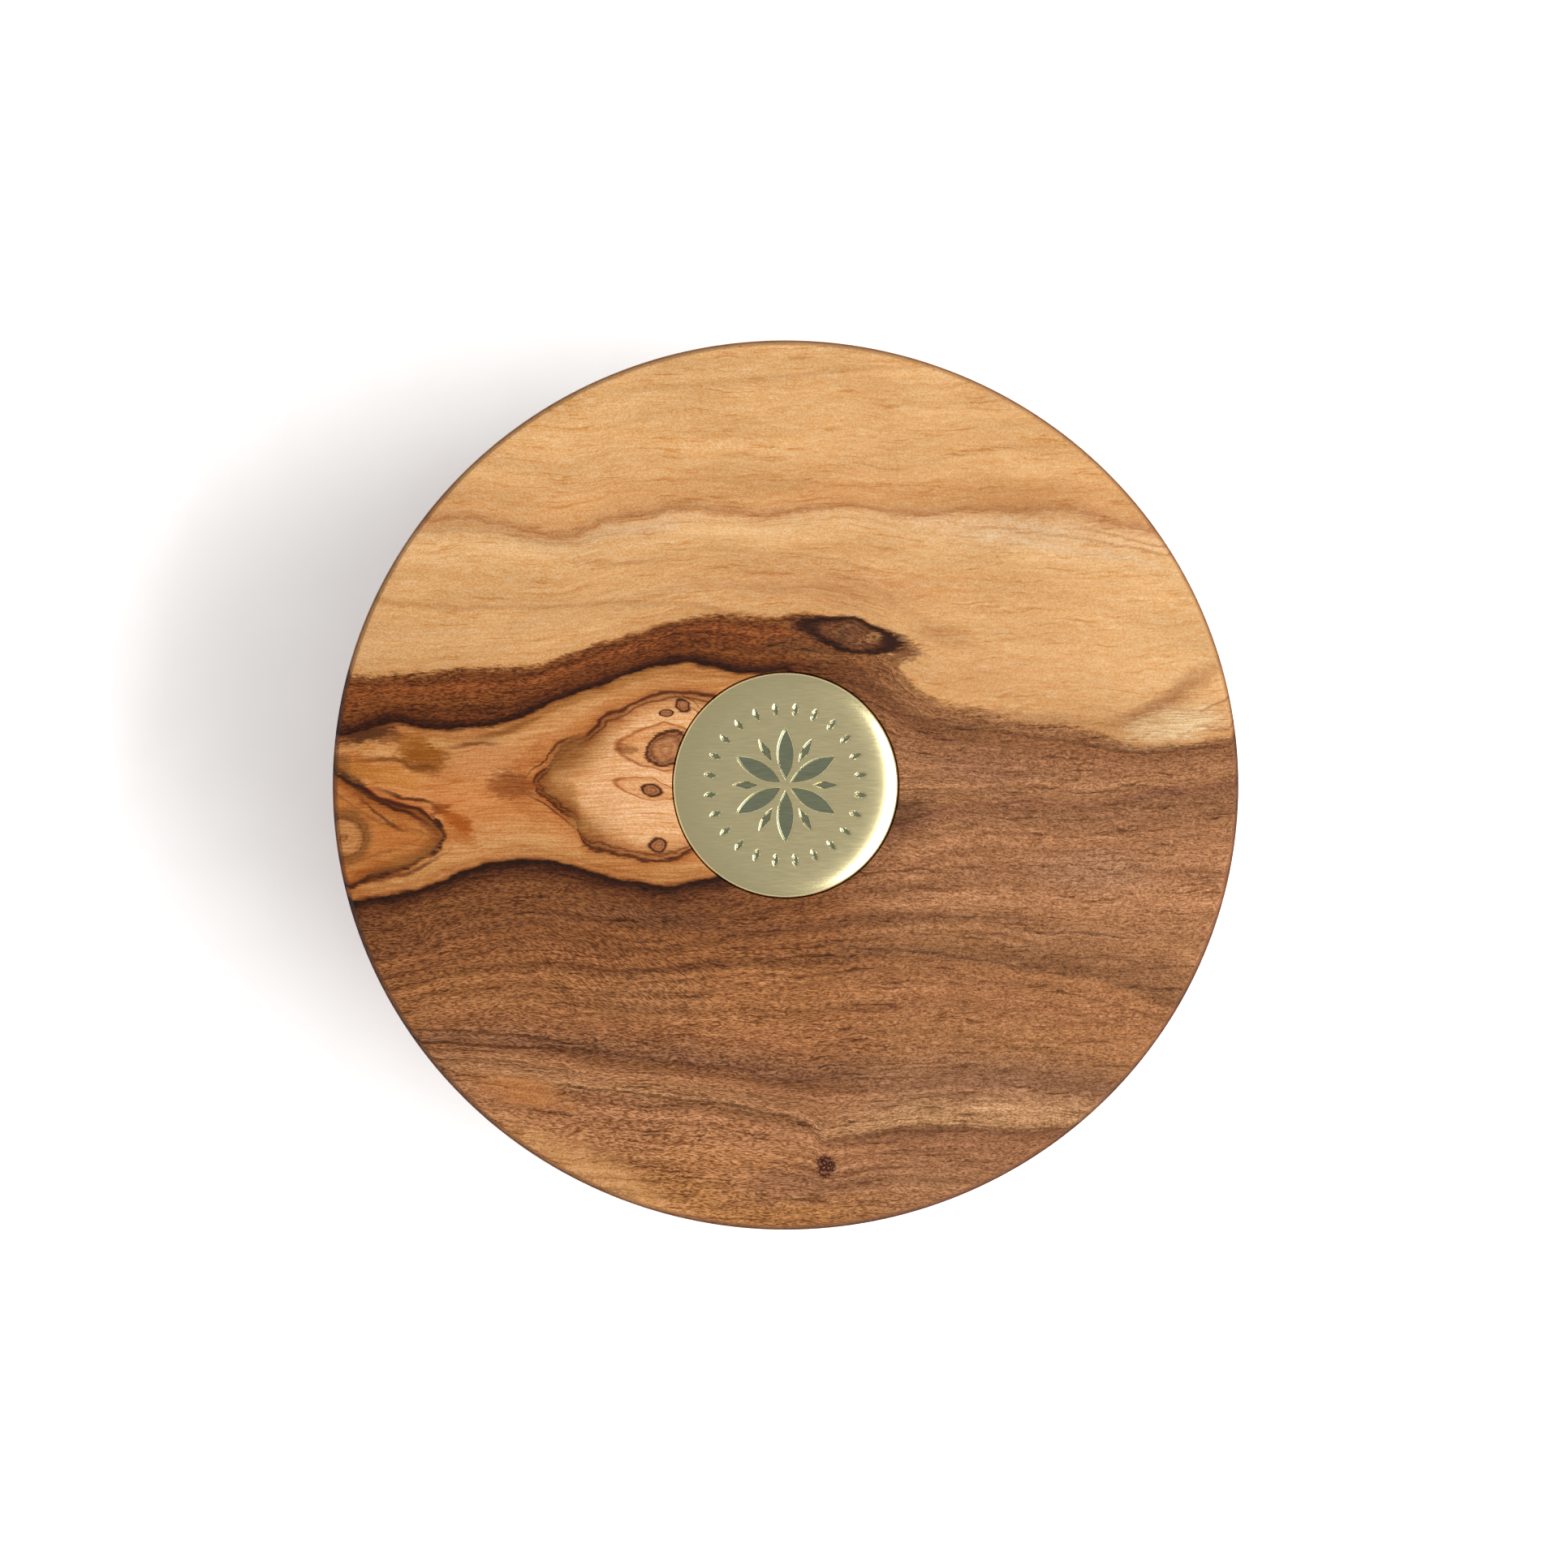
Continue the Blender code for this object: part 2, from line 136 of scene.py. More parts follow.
# The lid's growth lines from the front of the board to the back. Each has its height in even wood,
# and the places (along, across) that it runs through, in mm from the lid's centre.
LAYER_LINES = (
    (-37.5, (
        (-52, -30), (-36, -31.8), (-28, -33.1), (-19, -34.6), (-10, -35.2), (-5, -36.1), (0, -37.0),
        (2.6, -37.9), (4.4, -39.6), (6.2, -39.2), (10, -38.5), (17, -37.8), (23, -37.9), (52, -38.6),
    )),
    (-31.0, (
        (-52, -29.6), (-40, -28.9), (-32, -28.7), (-25, -29.4), (-18, -30.7), (-10, -31.6), (-4, -32.6),
        (2, -33.8), (8, -33.7), (15, -33.0), (22, -32.6), (29, -33.0), (34, -34.2), (38, -35.2), (52, -38),
    )),
    (-20.0, (
        (-52, -24.5), (-42, -22.4), (-34, -20.4), (-28, -19.8), (-22, -20.6), (-15, -20.7), (-6, -19.8),
        (3, -19.5), (8, -18.6), (13, -18.4), (19, -19.0), (27, -20.0), (34, -21.5), (44, -24.6), (52, -27),
    )),
    (-10.5, (
        (-52, -13.4), (-46, -12.5), (-40, -11.2), (-36, -9.7), (-32, -8.4), (-27, -8.3), (-23, -9.2),
        (-18, -10.8), (-13.6, -11.4), (-9, -10.6), (-2, -8.4), (8, -6.0), (14, -4.6), (19, -3.0),
        (27, -2.1), (33, -2.2), (40, -0.9), (52, 0.6),
    )),
    (8.0, (
        (-52, 5.0), (-48, 5.9), (-44, 7.0), (-39, 6.2), (-35, 6.5), (-31, 7.2), (-27, 8.8), (-22, 10.7),
        (-17, 12.5), (-12, 13.6), (-8.5, 13.4), (-4, 12.4), (2, 12.7), (7.5, 12.7), (10.5, 10.7),
        (13.5, 8.2), (18, 6.9), (26, 5.6), (33, 4.6), (38.5, 3.3), (43, 3.8), (52, 5.0),
    )),
    (12.5, (
        (-52, 12.1), (-44, 12.4), (-34, 12.9), (-28, 13.3), (-23.5, 14.9), (-18, 16.5), (-12, 18.3),
        (-7, 19.2), (-2, 18.7), (4, 18.6), (8.5, 17.2), (11.8, 14.6), (13.4, 12.3), (15.4, 10.6),
        (18, 9.3), (21, 8.4), (26, 7.0), (32, 6.3), (36, 5.0), (39, 4.1), (44, 4.5), (52, 5.7),
    )),
    (30.0, (
        (-52, 29.8), (-41, 29.5), (-34, 29.3), (-28, 28.2), (-24, 27.8), (-20, 29.3), (-14, 30.3),
        (-7, 30.4), (-2, 30.1), (3, 30.5), (7.5, 30.8), (13, 30.1), (17, 30.2), (20, 30.9), (26, 30.7),
        (33, 30.3), (37, 29.1), (42, 28.0), (52, 25),
    )),
)

# The pale tongue in the heartwood lies between the lines of these two levels.
TONGUE_LEVELS = (-10.5, 8.0)

# The rings round the limb at the tongue's root, as an upper and a lower line in mm
LIMB_RINGS = (
    (
        (-52, -20), (-34, -4.4), (-31, -1.6), (-29.4, -0.35), (-28.1, 0.4), (-27.5, 1.3), (-26.4, 2.3),
        (-26.0, 3.3), (-25.2, 4.2), (-24, 4.9), (-22.5, 5.6), (-21, 6.6), (-19.5, 7.7), (-18, 8.1),
        (-17, 8.8), (-16, 9.5), (-14.5, 10.1), (-13, 10.4), (-11, 10.5), (-8.0, 9.8), (0, 6), (10, 0),
        (52, -25),
    ),
    (
        (-52, 20), (-34, 4.6), (-31, 2.1), (-29.4, 0.95), (-28.1, 0.2), (-27.8, -0.4), (-27, -1.0),
        (-25.7, -2.0), (-24.3, -3.0), (-23.4, -3.9), (-23.1, -4.8), (-22.9, -5.9), (-22.2, -6.9),
        (-20.5, -7.4), (-18, -8.0), (-15, -8.6), (-12.5, -8.2), (-10.8, -7.4), (-9, -6.6), (0, -4),
        (10, 0), (52, 17),
    ),
)

# The rings round the small limb at the lid's left edge, as an upper and a lower line in mm
EDGE_RINGS = (
    (
        (-52, 2.4), (-50, 1.2), (-48.6, 0.3), (-47.5, -0.4), (-46.5, -1.0), (-45.2, -1.6), (-44, -1.85),
        (-42.6, -2.2), (-41, -2.6), (-40, -3.1), (-39.3, -3.7), (-38.9, -4.3), (-38.2, -4.9),
        (-37.7, -5.5), (-36.6, -6.8), (-30, -14), (52, -48),
    ),
    (
        (-52, -12.4), (-48.3, -11.3), (-46.5, -10.6), (-45, -10.1), (-43, -9.5), (-41.8, -9.0),
        (-40.5, -8.2), (-39.5, -7.5), (-38.6, -6.7), (-38.1, -6.0), (-37.7, -5.3), (-36.6, -4.2),
        (-30, 2), (52, 48),
    ),
)

# Streaks that cross the layers: half width, strength, tint, the start and the end in mm, and the places
# that they run through
STREAKS = (
    (0.45, 0.32, "#B07038", -57, 4, (
        (-52, 20.7), (-45.9, 20.5), (-38.7, 20), (-26, 19.9), (-15.2, 20.4), (-9.8, 20.2), (-6.1, 19.3),
        (0, 18.0), (52, 10),
    )),
    (0.40, 0.30, "#B97C45", -26, -10, ((-52, 24), (-23, 24.7), (-14, 25.0), (52, 26))),
    (0.50, 0.30, "#BE8048", -20, 18, ((-52, 42), (-15, 43.8), (-2, 45.4), (12, 46.5), (52, 48))),
    (0.45, 0.28, "#BE8048", 12, 34, ((-52, 34), (15, 36.0), (22, 37.2), (30, 38.0), (52, 40))),
    (0.22, 0.30, "#BE8044", -57, -20, (
        (-52, 28.4), (-40, 28.3), (-35, 28.1), (-32, 28.0), (-29, 27.4), (-26, 26.9), (-24, 26.8),
        (-20, 27.8), (52, 28),
    )),
    (1.00, 0.30, "#C08248", -57, -21, (
        (-52, 29.2), (-40, 28.8), (-35, 28.6), (-32, 28.5), (-29, 28.0), (-26, 27.5), (-24, 27.4),
        (-20, 28.4), (52, 29),
    )),
    (0.25, 0.55, "#B5753F", 17, 57, (
        (-52, 31), (16, 29.8), (18, 29.4), (22, 28.9), (26, 28.3), (30, 28.0), (35, 27.2), (38, 26.4),
        (52, 23),
    )),
    (0.25, 0.50, "#B5753F", 30, 57, (
        (-52, 31), (30, 29.4), (33, 28.9), (36, 28.0), (38, 27.4), (42, 26.2), (52, 23),
    )),
    (0.40, 0.50, "#EBC79E", 17, 44, (
        (-52, 31), (18, 28.7), (22, 27.9), (26, 27.2), (30, 26.4), (34, 25.7), (38, 25.0), (52, 22),
    )),
    (0.35, 0.45, "#EBC79E", 20, 34, (
        (-52, 31), (20, 29.7), (24, 29.4), (28, 28.9), (32, 28.4), (52, 25),
    )),
    (1.30, 0.62, "#AC6E42", 34, 57, (
        (-52, 5), (34, 6.2), (38, 7.2), (40.1, 8.4), (42.6, 9.9), (44.8, 11.7), (47.7, 13.3), (52, 15),
    )),
    (0.30, 0.90, "#B07440", 35, 57, (
        (-52, 4), (36, 5.4), (39, 5.0), (41, 5.9), (43.5, 5.5), (46, 6.6), (48, 6.2), (52, 7),
    )),
    (0.30, 0.85, "#B07440", 36, 57, (
        (-52, 5), (37, 6.2), (40, 6.9), (42, 6.9), (44, 8.3), (46, 8.1), (48, 9.2), (52, 10),
    )),
    (0.24, 0.80, "#5E3418", -57, -18, (
        (-52, -27.0), (-40, -27.5), (-34, -27.4), (-30, -27.7), (-25, -28.3), (-20, -29.2), (52, -34),
    )),
    (0.22, 0.80, "#5A3016", -57, -12, (
        (-52, -28.8), (-38, -28.8), (-32, -28.9), (-26, -29.1), (-20, -29.6), (-12, -31.0), (52, -36),
    )),
    (0.22, 0.75, "#66401F", -29, 3, (
        (-52, -33), (-28, -33.1), (-20, -34.2), (-12, -34.9), (-5, -35.8), (0, -37.0), (52, -45),
    )),
    (0.20, 0.60, "#6E452E", 12, 30, ((-52, -14), (14, -14.8), (20, -14.7), (28, -15.0), (52, -17))),
    (0.20, 0.60, "#6E452E", 22, 42, ((-52, -14), (24, -15.9), (30, -16.3), (36, -16.6), (52, -18))),
    (0.22, 0.70, "#66402A", 4, 30, (
        (-52, -16), (8, -18.0), (16, -18.8), (22, -19.5), (28, -20.2), (52, -22),
    )),
    (1.20, 0.50, "#7B4A2C", -57, 22, (
        (-52, -17.6), (-44.8, -18.5), (-39.4, -17.2), (-35, -16), (-31, -15.5), (-26, -14.9),
        (-20.6, -14.4), (-14, -14.9), (-7.9, -15.8), (0, -15.7), (15, -14.6), (25, -15.5), (40, -16.6),
        (52, -17),
    )),
)

# Two golden places at the lower left, where the heartwood has as little figure as sapwood: centre,
# half length and half width in mm, and tilt in degrees
GOLDEN = ((-29.5, -34.2, 7.5, 2.3, -14), (-21.0, -43.2, 16.0, 2.8, -27))

# Soft patches: the same five values, then strength and colour
PATCHES = (
    (5.0, 22.0, 24.0, 3.6, -4, 0.55, "#CB8B56"),
    (14.0, 32.6, 28.0, 2.2, -1, 0.40, "#D39458"),
    (27.0, 27.6, 15.0, 2.4, -8, 0.55, "#EDC293"),
    (45.0, 17.0, 14.0, 9.0, 0, 0.60, "#EFBC80"),
    (-16.0, 28.4, 8.0, 1.2, 8, 0.50, "#E6BB92"),
    (42.5, 9.4, 8.0, 2.0, 32, 0.60, "#B67C4C"),
    (13.4, -3.2, 4.4, 2.8, 8, 0.75, "#6A4026"),
    (27.0, 7.4, 12.0, 1.3, -6, 0.60, "#B27C4F"),
    (*GOLDEN[0], 0.90, "#C8844C"),
    (*GOLDEN[1], 0.95, "#DEA268"),
    (-15.0, -23.5, 10.0, 4.0, 0, 0.35, "#90603E"),
    (34.0, -9.5, 10.0, 3.2, -3, 0.50, "#BE8C68"),
    (43.5, 6.8, 8.0, 2.7, 10, 0.90, "#F8D4A2"),
    (-14.0, -14.9, 8.0, 1.5, -3, 0.55, "#6E4328"),
    (-50.0, -14.0, 8.0, 3.4, -10, 0.35, "#633A20"),
    (24.0, 12.0, 12.0, 3.6, -12, 0.45, "#D89C66"),
    (13.3, 14.8, 3.2, 1.4, 4, 0.95, "#8A5530"),
    (17.5, 16.6, 6.5, 2.0, -8, 0.45, "#C08450"),
    (10.0, 26.0, 8.0, 3.0, 0, 0.35, "#D49A60"),
    (2.0, -44.5, 12.0, 3.4, 4, 0.60, "#98664A"),
    (22.0, 2.0, 10.0, 3.2, -4, 0.55, "#936044"),
    (2.0, 15.3, 7.0, 1.8, -8, 0.50, "#764E2C"),
)

# Streaks and soft patches of the tongue, as above
TONGUE_STREAKS = (
    (0.36, 1.00, "#6A3210", -46.5, -37.4, (
        (-52, 1), (-45.3, -0.6), (-43, -1.1), (-41, -1.35), (-39.8, -1.6), (-38.8, -2.1), (-37.9, -2.9),
        (52, -12),
    )),
    (0.36, 1.00, "#4E2008", -49, -38.4, (
        (-52, 1.5), (-48.5, -0.4), (-46.5, -1.4), (-45, -2.1), (-44, -2.4), (-42.8, -2.8), (-41.5, -3.3),
        (-40.4, -3.8), (-39.6, -4.4), (-38.6, -5.6), (52, -20),
    )),
    (0.30, 0.90, "#74401A", -49, -40.6, (
        (-52, 0), (-47.2, -1.7), (-46.0, -2.9), (-44.5, -3.9), (-43.0, -4.6), (-41.6, -5.2), (52, -20),
    )),
    (0.34, 0.85, "#74401A", -47, -36.5, (
        (-52, -11), (-46, -10.5), (-43.5, -10.2), (-42, -9.8), (-40.5, -9.2), (-39, -8.3), (-37.6, -7.2),
        (-36, -5.6), (52, 20),
    )),
    (0.42, 0.90, "#8A4E18", -48.5, -38, (
        (-52, 3.2), (-46, 3.0), (-44.5, 3.15), (-43, 2.9), (-41.5, 2.3), (-40, 1.9), (52, 1),
    )),
    (0.40, 0.85, "#80481C", -38, -31, ((-52, 4), (-37, 4.5), (-34, 4.8), (-32, 4.6), (52, 5))),
    (0.60, 0.75, "#8E5824", -36, -26, (
        (-52, 3), (-35, 5.3), (-32, 5.8), (-30, 6.5), (-26, 8.2), (52, 20),
    )),
    (0.60, 0.55, "#A0682C", -30, -10, (
        (-52, 0), (-30, 6.9), (-26, 8.5), (-22, 10.1), (-18, 11.8), (-14, 12.8), (-10, 12.8), (52, 13),
    )),
    (0.26, 0.95, "#6A3818", -29.8, -22.5, (
        (-52, 20), (-29.8, 0.2), (-28.5, 1.7), (-27.2, 2.6), (-26.3, 3.9), (-24.5, 5.1), (-22.5, 6.0),
        (52, 20),
    )),
    (0.26, 0.90, "#6A3818", -29.8, -23, (
        (-52, 20), (-29.8, 0.0), (-28.6, -1.2), (-27, -1.9), (-25.2, -3.1), (-23.8, -4.5), (-22.5, -5.0),
        (52, -10),
    )),
    (0.20, 0.80, "#8A4A1E", -33.0, -27.5, ((-52, 1.2), (52, 0.6))),
    (0.20, 0.75, "#8A4A1E", -32.0, -27.0, ((-52, 0.4), (52, 0.1))),
    (0.20, 0.80, "#8A4A1E", -33.5, -27.5, ((-52, -0.2), (52, -0.6))),
    (0.20, 0.70, "#8A4A1E", -31.5, -26.5, ((-52, -0.7), (52, -1.6))),
    (0.22, 0.60, "#9A5C2C", -28.0, -23.0, ((-52, 2.2), (52, 2.6))),
    (0.18, 0.85, "#5A3018", -12.8, -9.0, (
        (-52, 60), (-12.2, 10.2), (-10.9, 8.8), (-10, 7.9), (52, -30),
    )),
    (0.16, 0.80, "#5A3018", -12.0, -9.0, (
        (-52, 60), (-11.6, 10.3), (-10.3, 9.4), (-9.6, 8.6), (52, -30),
    )),
)
TONGUE_PATCHES = (
    (-41.4, 4.4, 2.7, 2.2, 0, 0.85, "#A8641E"),
    (-39.8, 3.0, 3.6, 1.9, -12, 0.90, "#9A5612"),
    (-38.6, 3.6, 2.8, 0.8, -8, 0.60, "#A4601C"),
    (-40.2, 2.1, 1.8, 0.5, 4, 0.70, "#7A4010"),
    (-46.6, 5.7, 4.6, 1.3, 12, 0.95, "#5A2E10"),
    (-44.0, 5.3, 2.4, 0.7, 14, 0.70, "#8A4E1E"),
    (-49.2, 2.2, 4.0, 1.5, -20, 0.85, "#84481A"),
    (-48.6, 0.6, 3.2, 0.9, -38, 0.85, "#3A1C0A"),
    (-46.6, 1.8, 3.6, 1.5, -40, 0.65, "#B4621E"),
    (-38.5, -4.3, 1.7, 0.42, -58, 1.00, "#44200C"),
    (-38.6, -6.7, 1.8, 0.42, 55, 1.00, "#44200C"),
    (-33.5, 3.2, 5.0, 4.0, 0, 0.45, "#D68F5A"),
    (-33.5, -6.8, 6.0, 1.8, 0, 0.50, "#D8985C"),
    (-44.5, 1.2, 6.0, 1.8, -8, 0.65, "#CE8438"),
    (-38.3, -2.5, 1.3, 0.9, 0, 0.95, "#9A480E"),
    (-36.4, -4.2, 2.7, 1.2, -32, 0.95, "#B25A14"),
    (-36.0, -5.6, 2.6, 0.8, -20, 0.60, "#BC6A28"),
    (-39.6, -4.6, 2.2, 0.9, -50, 0.60, "#80481E"),
    (-40.1, -7.2, 3.0, 0.9, 40, 0.50, "#8E5826"),
    (-42.6, -8.4, 3.8, 1.0, 24, 0.45, "#9C682E"),
    (-43.0, -5.8, 3.4, 2.0, 0, 0.60, "#C47434"),
    (-30.4, 0.0, 3.2, 2.2, 0, 0.90, "#A25A26"),
    (-28.5, -2.6, 3.4, 1.2, -32, 0.50, "#B8682C"),
    (-28.0, 3.4, 3.4, 1.3, 34, 0.50, "#B8682C"),
    (-24.6, 3.8, 3.2, 1.5, 34, 0.60, "#A46A34"),
    (-22.8, -4.2, 3.0, 1.3, -30, 0.60, "#AA6E36"),
    (-17.6, 4.0, 1.6, 0.8, 0, 0.70, "#A8703E"),
)

# Round knots in the tongue: place along and across, half length and half width in mm, and tilt in
# degrees. The last is cut through at the lid's edge.
PIN_KNOTS = (
    (-11.6, 8.8, 0.85, 0.78, -40),
    (-13.35, 7.85, 0.60, 0.46, 0),
    (-15.1, -0.6, 1.05, 0.66, 0),
    (-14.25, -6.8, 0.98, 0.86, 0),
)
LIMB_KNOTS = (
    (-13.2, 4.05, 2.35, 1.85, 25),
)
EDGE_KNOT = (-49.2, -5.8, 2.5, 2.6)

# Pointed fields round two of the knots, as above
KNOT_FIELDS = (
    (-13.6, 4.15, 5.1, 2.65, 0),
    (-15.4, -0.45, 3.7, 1.30, -9),
)

# The knot at the back, and soft patches in it
EYE = (7.3, 16.75, 6.3, 1.9, -8.9)
EYE_PATCHES = (
    (2.7, 17.3, 1.7, 0.6, -16, 0.80, "#3A1C0E"),
    (6.3, 16.5, 1.3, 0.9, 0, 0.85, "#5E3A22"),
    (11.8, 16.1, 1.5, 0.9, -12, 0.80, "#3A1C0E"),
    (10.0, 16.5, 1.1, 0.75, 0, 0.90, "#C08A55"),
    (10.0, 16.5, 0.45, 0.35, 0, 0.90, "#6A4326"),
)

# The cluster of bark pins, the place where the grain curls, and the pale fan at the right
BARK_PIN = (4.5, -42.4, 1.0, 1.25)
CURL = (-19.0, -19.5, 13.0, 8.0, -4)
FAN = (43.5, 7.2, 8.0, 3.6, 14)

# How the grain wanders: the length of its waves in mm along, across and in depth, and how far they
# reach each way
BROAD_BEND = ((9, 5, 9), (1.6, 1.3, 1.3))
FINE_BEND = ((2.2, 1.1, 1.6), (0.9, 0.5, 0.5))

# The lid's layers slant, which shows on its edge: how far they run back for each mm of depth
LAYER_SLANT = 0.55

# How far two lines are rounded into each other where they meet, and the longest stretch over which a
# streak fades in or out, in mm
TIP_ROUNDING = 0.6
STREAK_FADE = 5.0

# The bowl's layers are rings round the tree's middle. In mm: how far that lay in front of the bowl's
# middle and below its rim, how far the rings wander, and what their radius has more than their layer
PITH = (10.0, 103.0)
RING_WANDER = 60.0
RING_START = 105.0

# How far the bowl's fibres stand out, where 1 is most
BOWL_REACH = 0.8

# The range that most noise keeps to
NOISE = (0.3, 0.7)

# Settings of a Mix node that lays a colour over another, and of one that multiplies the two
PAINT = {"data_type": "RGBA"}
TINT = {"data_type": "RGBA", "blend_type": "MULTIPLY"}


def length(name, description, millimetres):
    """A length that a user can change."""
    return bpy.props.FloatProperty(
        name=name, description=description, default=millimetres * MM, unit="LENGTH"
    )


class WoodSettings(bpy.types.PropertyGroup):
    """Finish and edges of the oiled olive wood."""

    sheen: bpy.props.FloatProperty(
        name="Oil finish",
        description="Roughness of the oiled surface between its pores",
        default=0.48,
        min=0.2,
        max=0.8,
        subtype="FACTOR",
    )
    pore_depth: length("Pore depth", "Depth of the open pores", 0.025)
    bevel: length("Upper bevel", "Width of the bevel round the lid's top", 0.65)
    bevel_height: length(
        "Upper bevel height", "How far the bevel round the lid's top runs down its side", 1.2
    )
    rim_arris: length("Rim arris", "Radius of the outer edge of the bowl's rim", 0.8)
    under_arris: length("Lower arris", "Radius of the lid's lower edge", 0.5)
    glue_line: length("Glue line", "Gap between the wood and the metal pieces let into it", 0.2)
    inlay_line: length("Inlay line", "Gap between the wood and the medallion", 0.15)
    wall: length("Bowl wall", "Thickness of the bowl's wall at the rim", 14.0)
    floor: length("Bowl floor", "Thickness of the bowl's floor", 8.5)
    fillet: length("Cavity fillet", "Radius between the cavity's wall and its floor", 14.0)
    lip: length("Cavity lip", "Radius of the rim's inner edge", 1.2)
    belly: length("Belly height", "Height at which the bowl is widest", 34.0)
    foot_inset: length("Foot inset", "How much smaller the foot's radius is than the belly's", 10.5)
    rim_inset: length("Rim inset", "How much smaller the rim's radius is than the belly's", 0.6)
    foot_ring: length("Foot ring", "Width of the ring that the bowl stands on", 7.0)
    foot_hollow: length("Foot hollow", "Depth and slope of the hollow inside the foot ring", 1.2)


class MedallionSettings(bpy.types.PropertyGroup):
    """The struck brass disc in the lid."""

    edge: length("Edge chamfer", "Width of the small chamfer round the disc's rim", 0.2)
    crown: length("Crown", "How much higher the disc is in the middle than at its rim", 0.4)
    crown_power: bpy.props.FloatProperty(
        name="Crown power",
        description="How flat the disc is in the middle before it falls to the rim",
        default=10.0,
        min=2.0,
        max=16.0,
    )
    relief: length("Relief", "Depth of the struck pattern", 0.15)
    wall: length("Relief wall", "Width of the slope at the edge of the struck pattern", 0.14)
    petals: bpy.props.IntProperty(
        name="Petals",
        description="Petals of the struck rosette",
        default=6,
        min=3,
        max=12,
    )
    grains: bpy.props.IntProperty(
        name="Grains",
        description="Grains in the ring round the rosette",
        default=24,
        min=6,
        max=48,
    )


class HardwareSettings(bpy.types.PropertyGroup):
    """The pin, the bush, the washer and the magnets."""

    pin_radius: length("Pin radius", "Radius of the swivel pin's shank", 2.5)
    pin_head: length("Pin head", "Thickness of the swivel pin's head", 1.5)
    knurl: length("Knurl", "Height of the ribs that hold the pin in the wood", 0.1)
    bore: length("Bore", "Radius of the bore in the bush and in the washer", 2.65)
    chamber: length("Chamber", "Radius of the bush's chamber round the pin's head", 3.55)
    bearing: length("Bearing", "Length of the bush's bore below the chamber", 5.0)
    edge: length("Edge", "Rounding of the magnets' edges", 0.3)


class StageSettings(bpy.types.PropertyGroup):
    """The floor, the lights and the camera."""

    key_power: bpy.props.FloatProperty(
        name="Key light",
        description="Power of the long soft light at the right",
        default=2.65,
        unit="POWER",
    )
    room: bpy.props.FloatProperty(
        name="Room light",
        description="Brightness of the even light from all round",
        default=0.42,
    )
    ceiling: bpy.props.FloatProperty(
        name="Ceiling",
        description="Brightness of the ceiling that the metal mirrors, where the walls have 1",
        default=0.38,
    )
    frame_width: length(
        "Frame width", "Width that the picture takes in at the height of the lid's top", 174.4
    )


def linear(hex_colour):
    """An sRGB hex colour, such as "#B07A4C", as linear red, green, blue and alpha."""
    values = []
    for place in (1, 3, 5):
        value = int(hex_colour[place : place + 2], 16) / 255
        values.append(value / 12.92 if value <= 0.04045 else ((value + 0.055) / 1.055) ** 2.4)
    return (*values, 1.0)


def add_node(tree, kind, *values, named=None, out=None, stops=(), points=(), **settings):
    """Adds a node with its settings, sets or links its inputs in order or by name, returns an output."""
    node = tree.nodes.new("ShaderNode" + kind)
    for setting, value in settings.items():
        setattr(node, setting, value)
    if stops:
        elements = node.color_ramp.elements
        elements[0].position, elements[1].position = stops[0][0], stops[-1][0]
        elements[0].color, elements[1].color = stops[0][1], stops[-1][1]
        for position, colour in stops[1:-1]:
            elements.new(position).color = colour
    if points:
        curve = node.mapping.curves[0]
        curve.points[0].location, curve.points[1].location = points[0], points[-1]
        for position in points[1:-1]:
            curve.points.new(*position)
        node.mapping.update()
    sockets = [socket for socket in node.inputs if socket.enabled]
    pairs = list(zip(sockets, values))
    pairs += [(node.inputs[name], value) for name, value in (named or {}).items()]
    for socket, value in pairs:
        if isinstance(value, bpy.types.NodeSocket):
            tree.links.new(value, socket)
        elif value is not None:
            socket.default_value = value
    if out:
        return node.outputs[out]
    return next((socket for socket in node.outputs if socket.enabled), None)


def new_material(name):
    """An empty material and its node tree."""
    material = bpy.data.materials.new(name)
    material.use_nodes = True
    material.node_tree.nodes.clear()
    return material, material.node_tree


def colour_at(tree, value, *stops):
    """The colour at a value, by stops of a value and a hex colour."""
    low, high = stops[0][0], stops[-1][0]
    share = add_node(tree, "MapRange", value, low, high)
    tones = [((place - low) / (high - low), linear(tone)) for place, tone in stops]
    return add_node(tree, "ValToRGB", share, stops=tones)


def grain_noise(tree, place, lengths, detail=1.0, roughness=0.5, out="Fac"):
    """Noise whose cells have the given lengths in mm along the grain, across it and in depth."""
    cells = [1 / size for size in lengths]
    scaled = add_node(tree, "VectorMath", place, cells, operation="MULTIPLY")
    return add_node(tree, "TexNoise", scaled, 1.0, detail, roughness, out=out)


def growth_line(tree, along, places):
    """Height across the board, in mm, of a growth line above a place along it."""
    share = add_node(tree, "Math", along, 0.5 / BOARD, 0.5, operation="MULTIPLY_ADD")
    points = [(0.5 + x / BOARD / 2, 0.5 + y / BOARD / 2) for x, y in places]
    height = add_node(tree, "FloatCurve", 1.0, share, points=points)
    return add_node(tree, "Math", height, 2 * BOARD, -BOARD, operation="MULTIPLY_ADD")


def between(tree, across, upper, lower):
    """How far a place lies inside two lines, in mm, and below zero outside them."""
    below = add_node(tree, "Math", upper, across, operation="SUBTRACT")
    above = add_node(tree, "Math", across, lower, operation="SUBTRACT")
    return add_node(tree, "Math", below, above, TIP_ROUNDING, operation="SMOOTH_MIN")


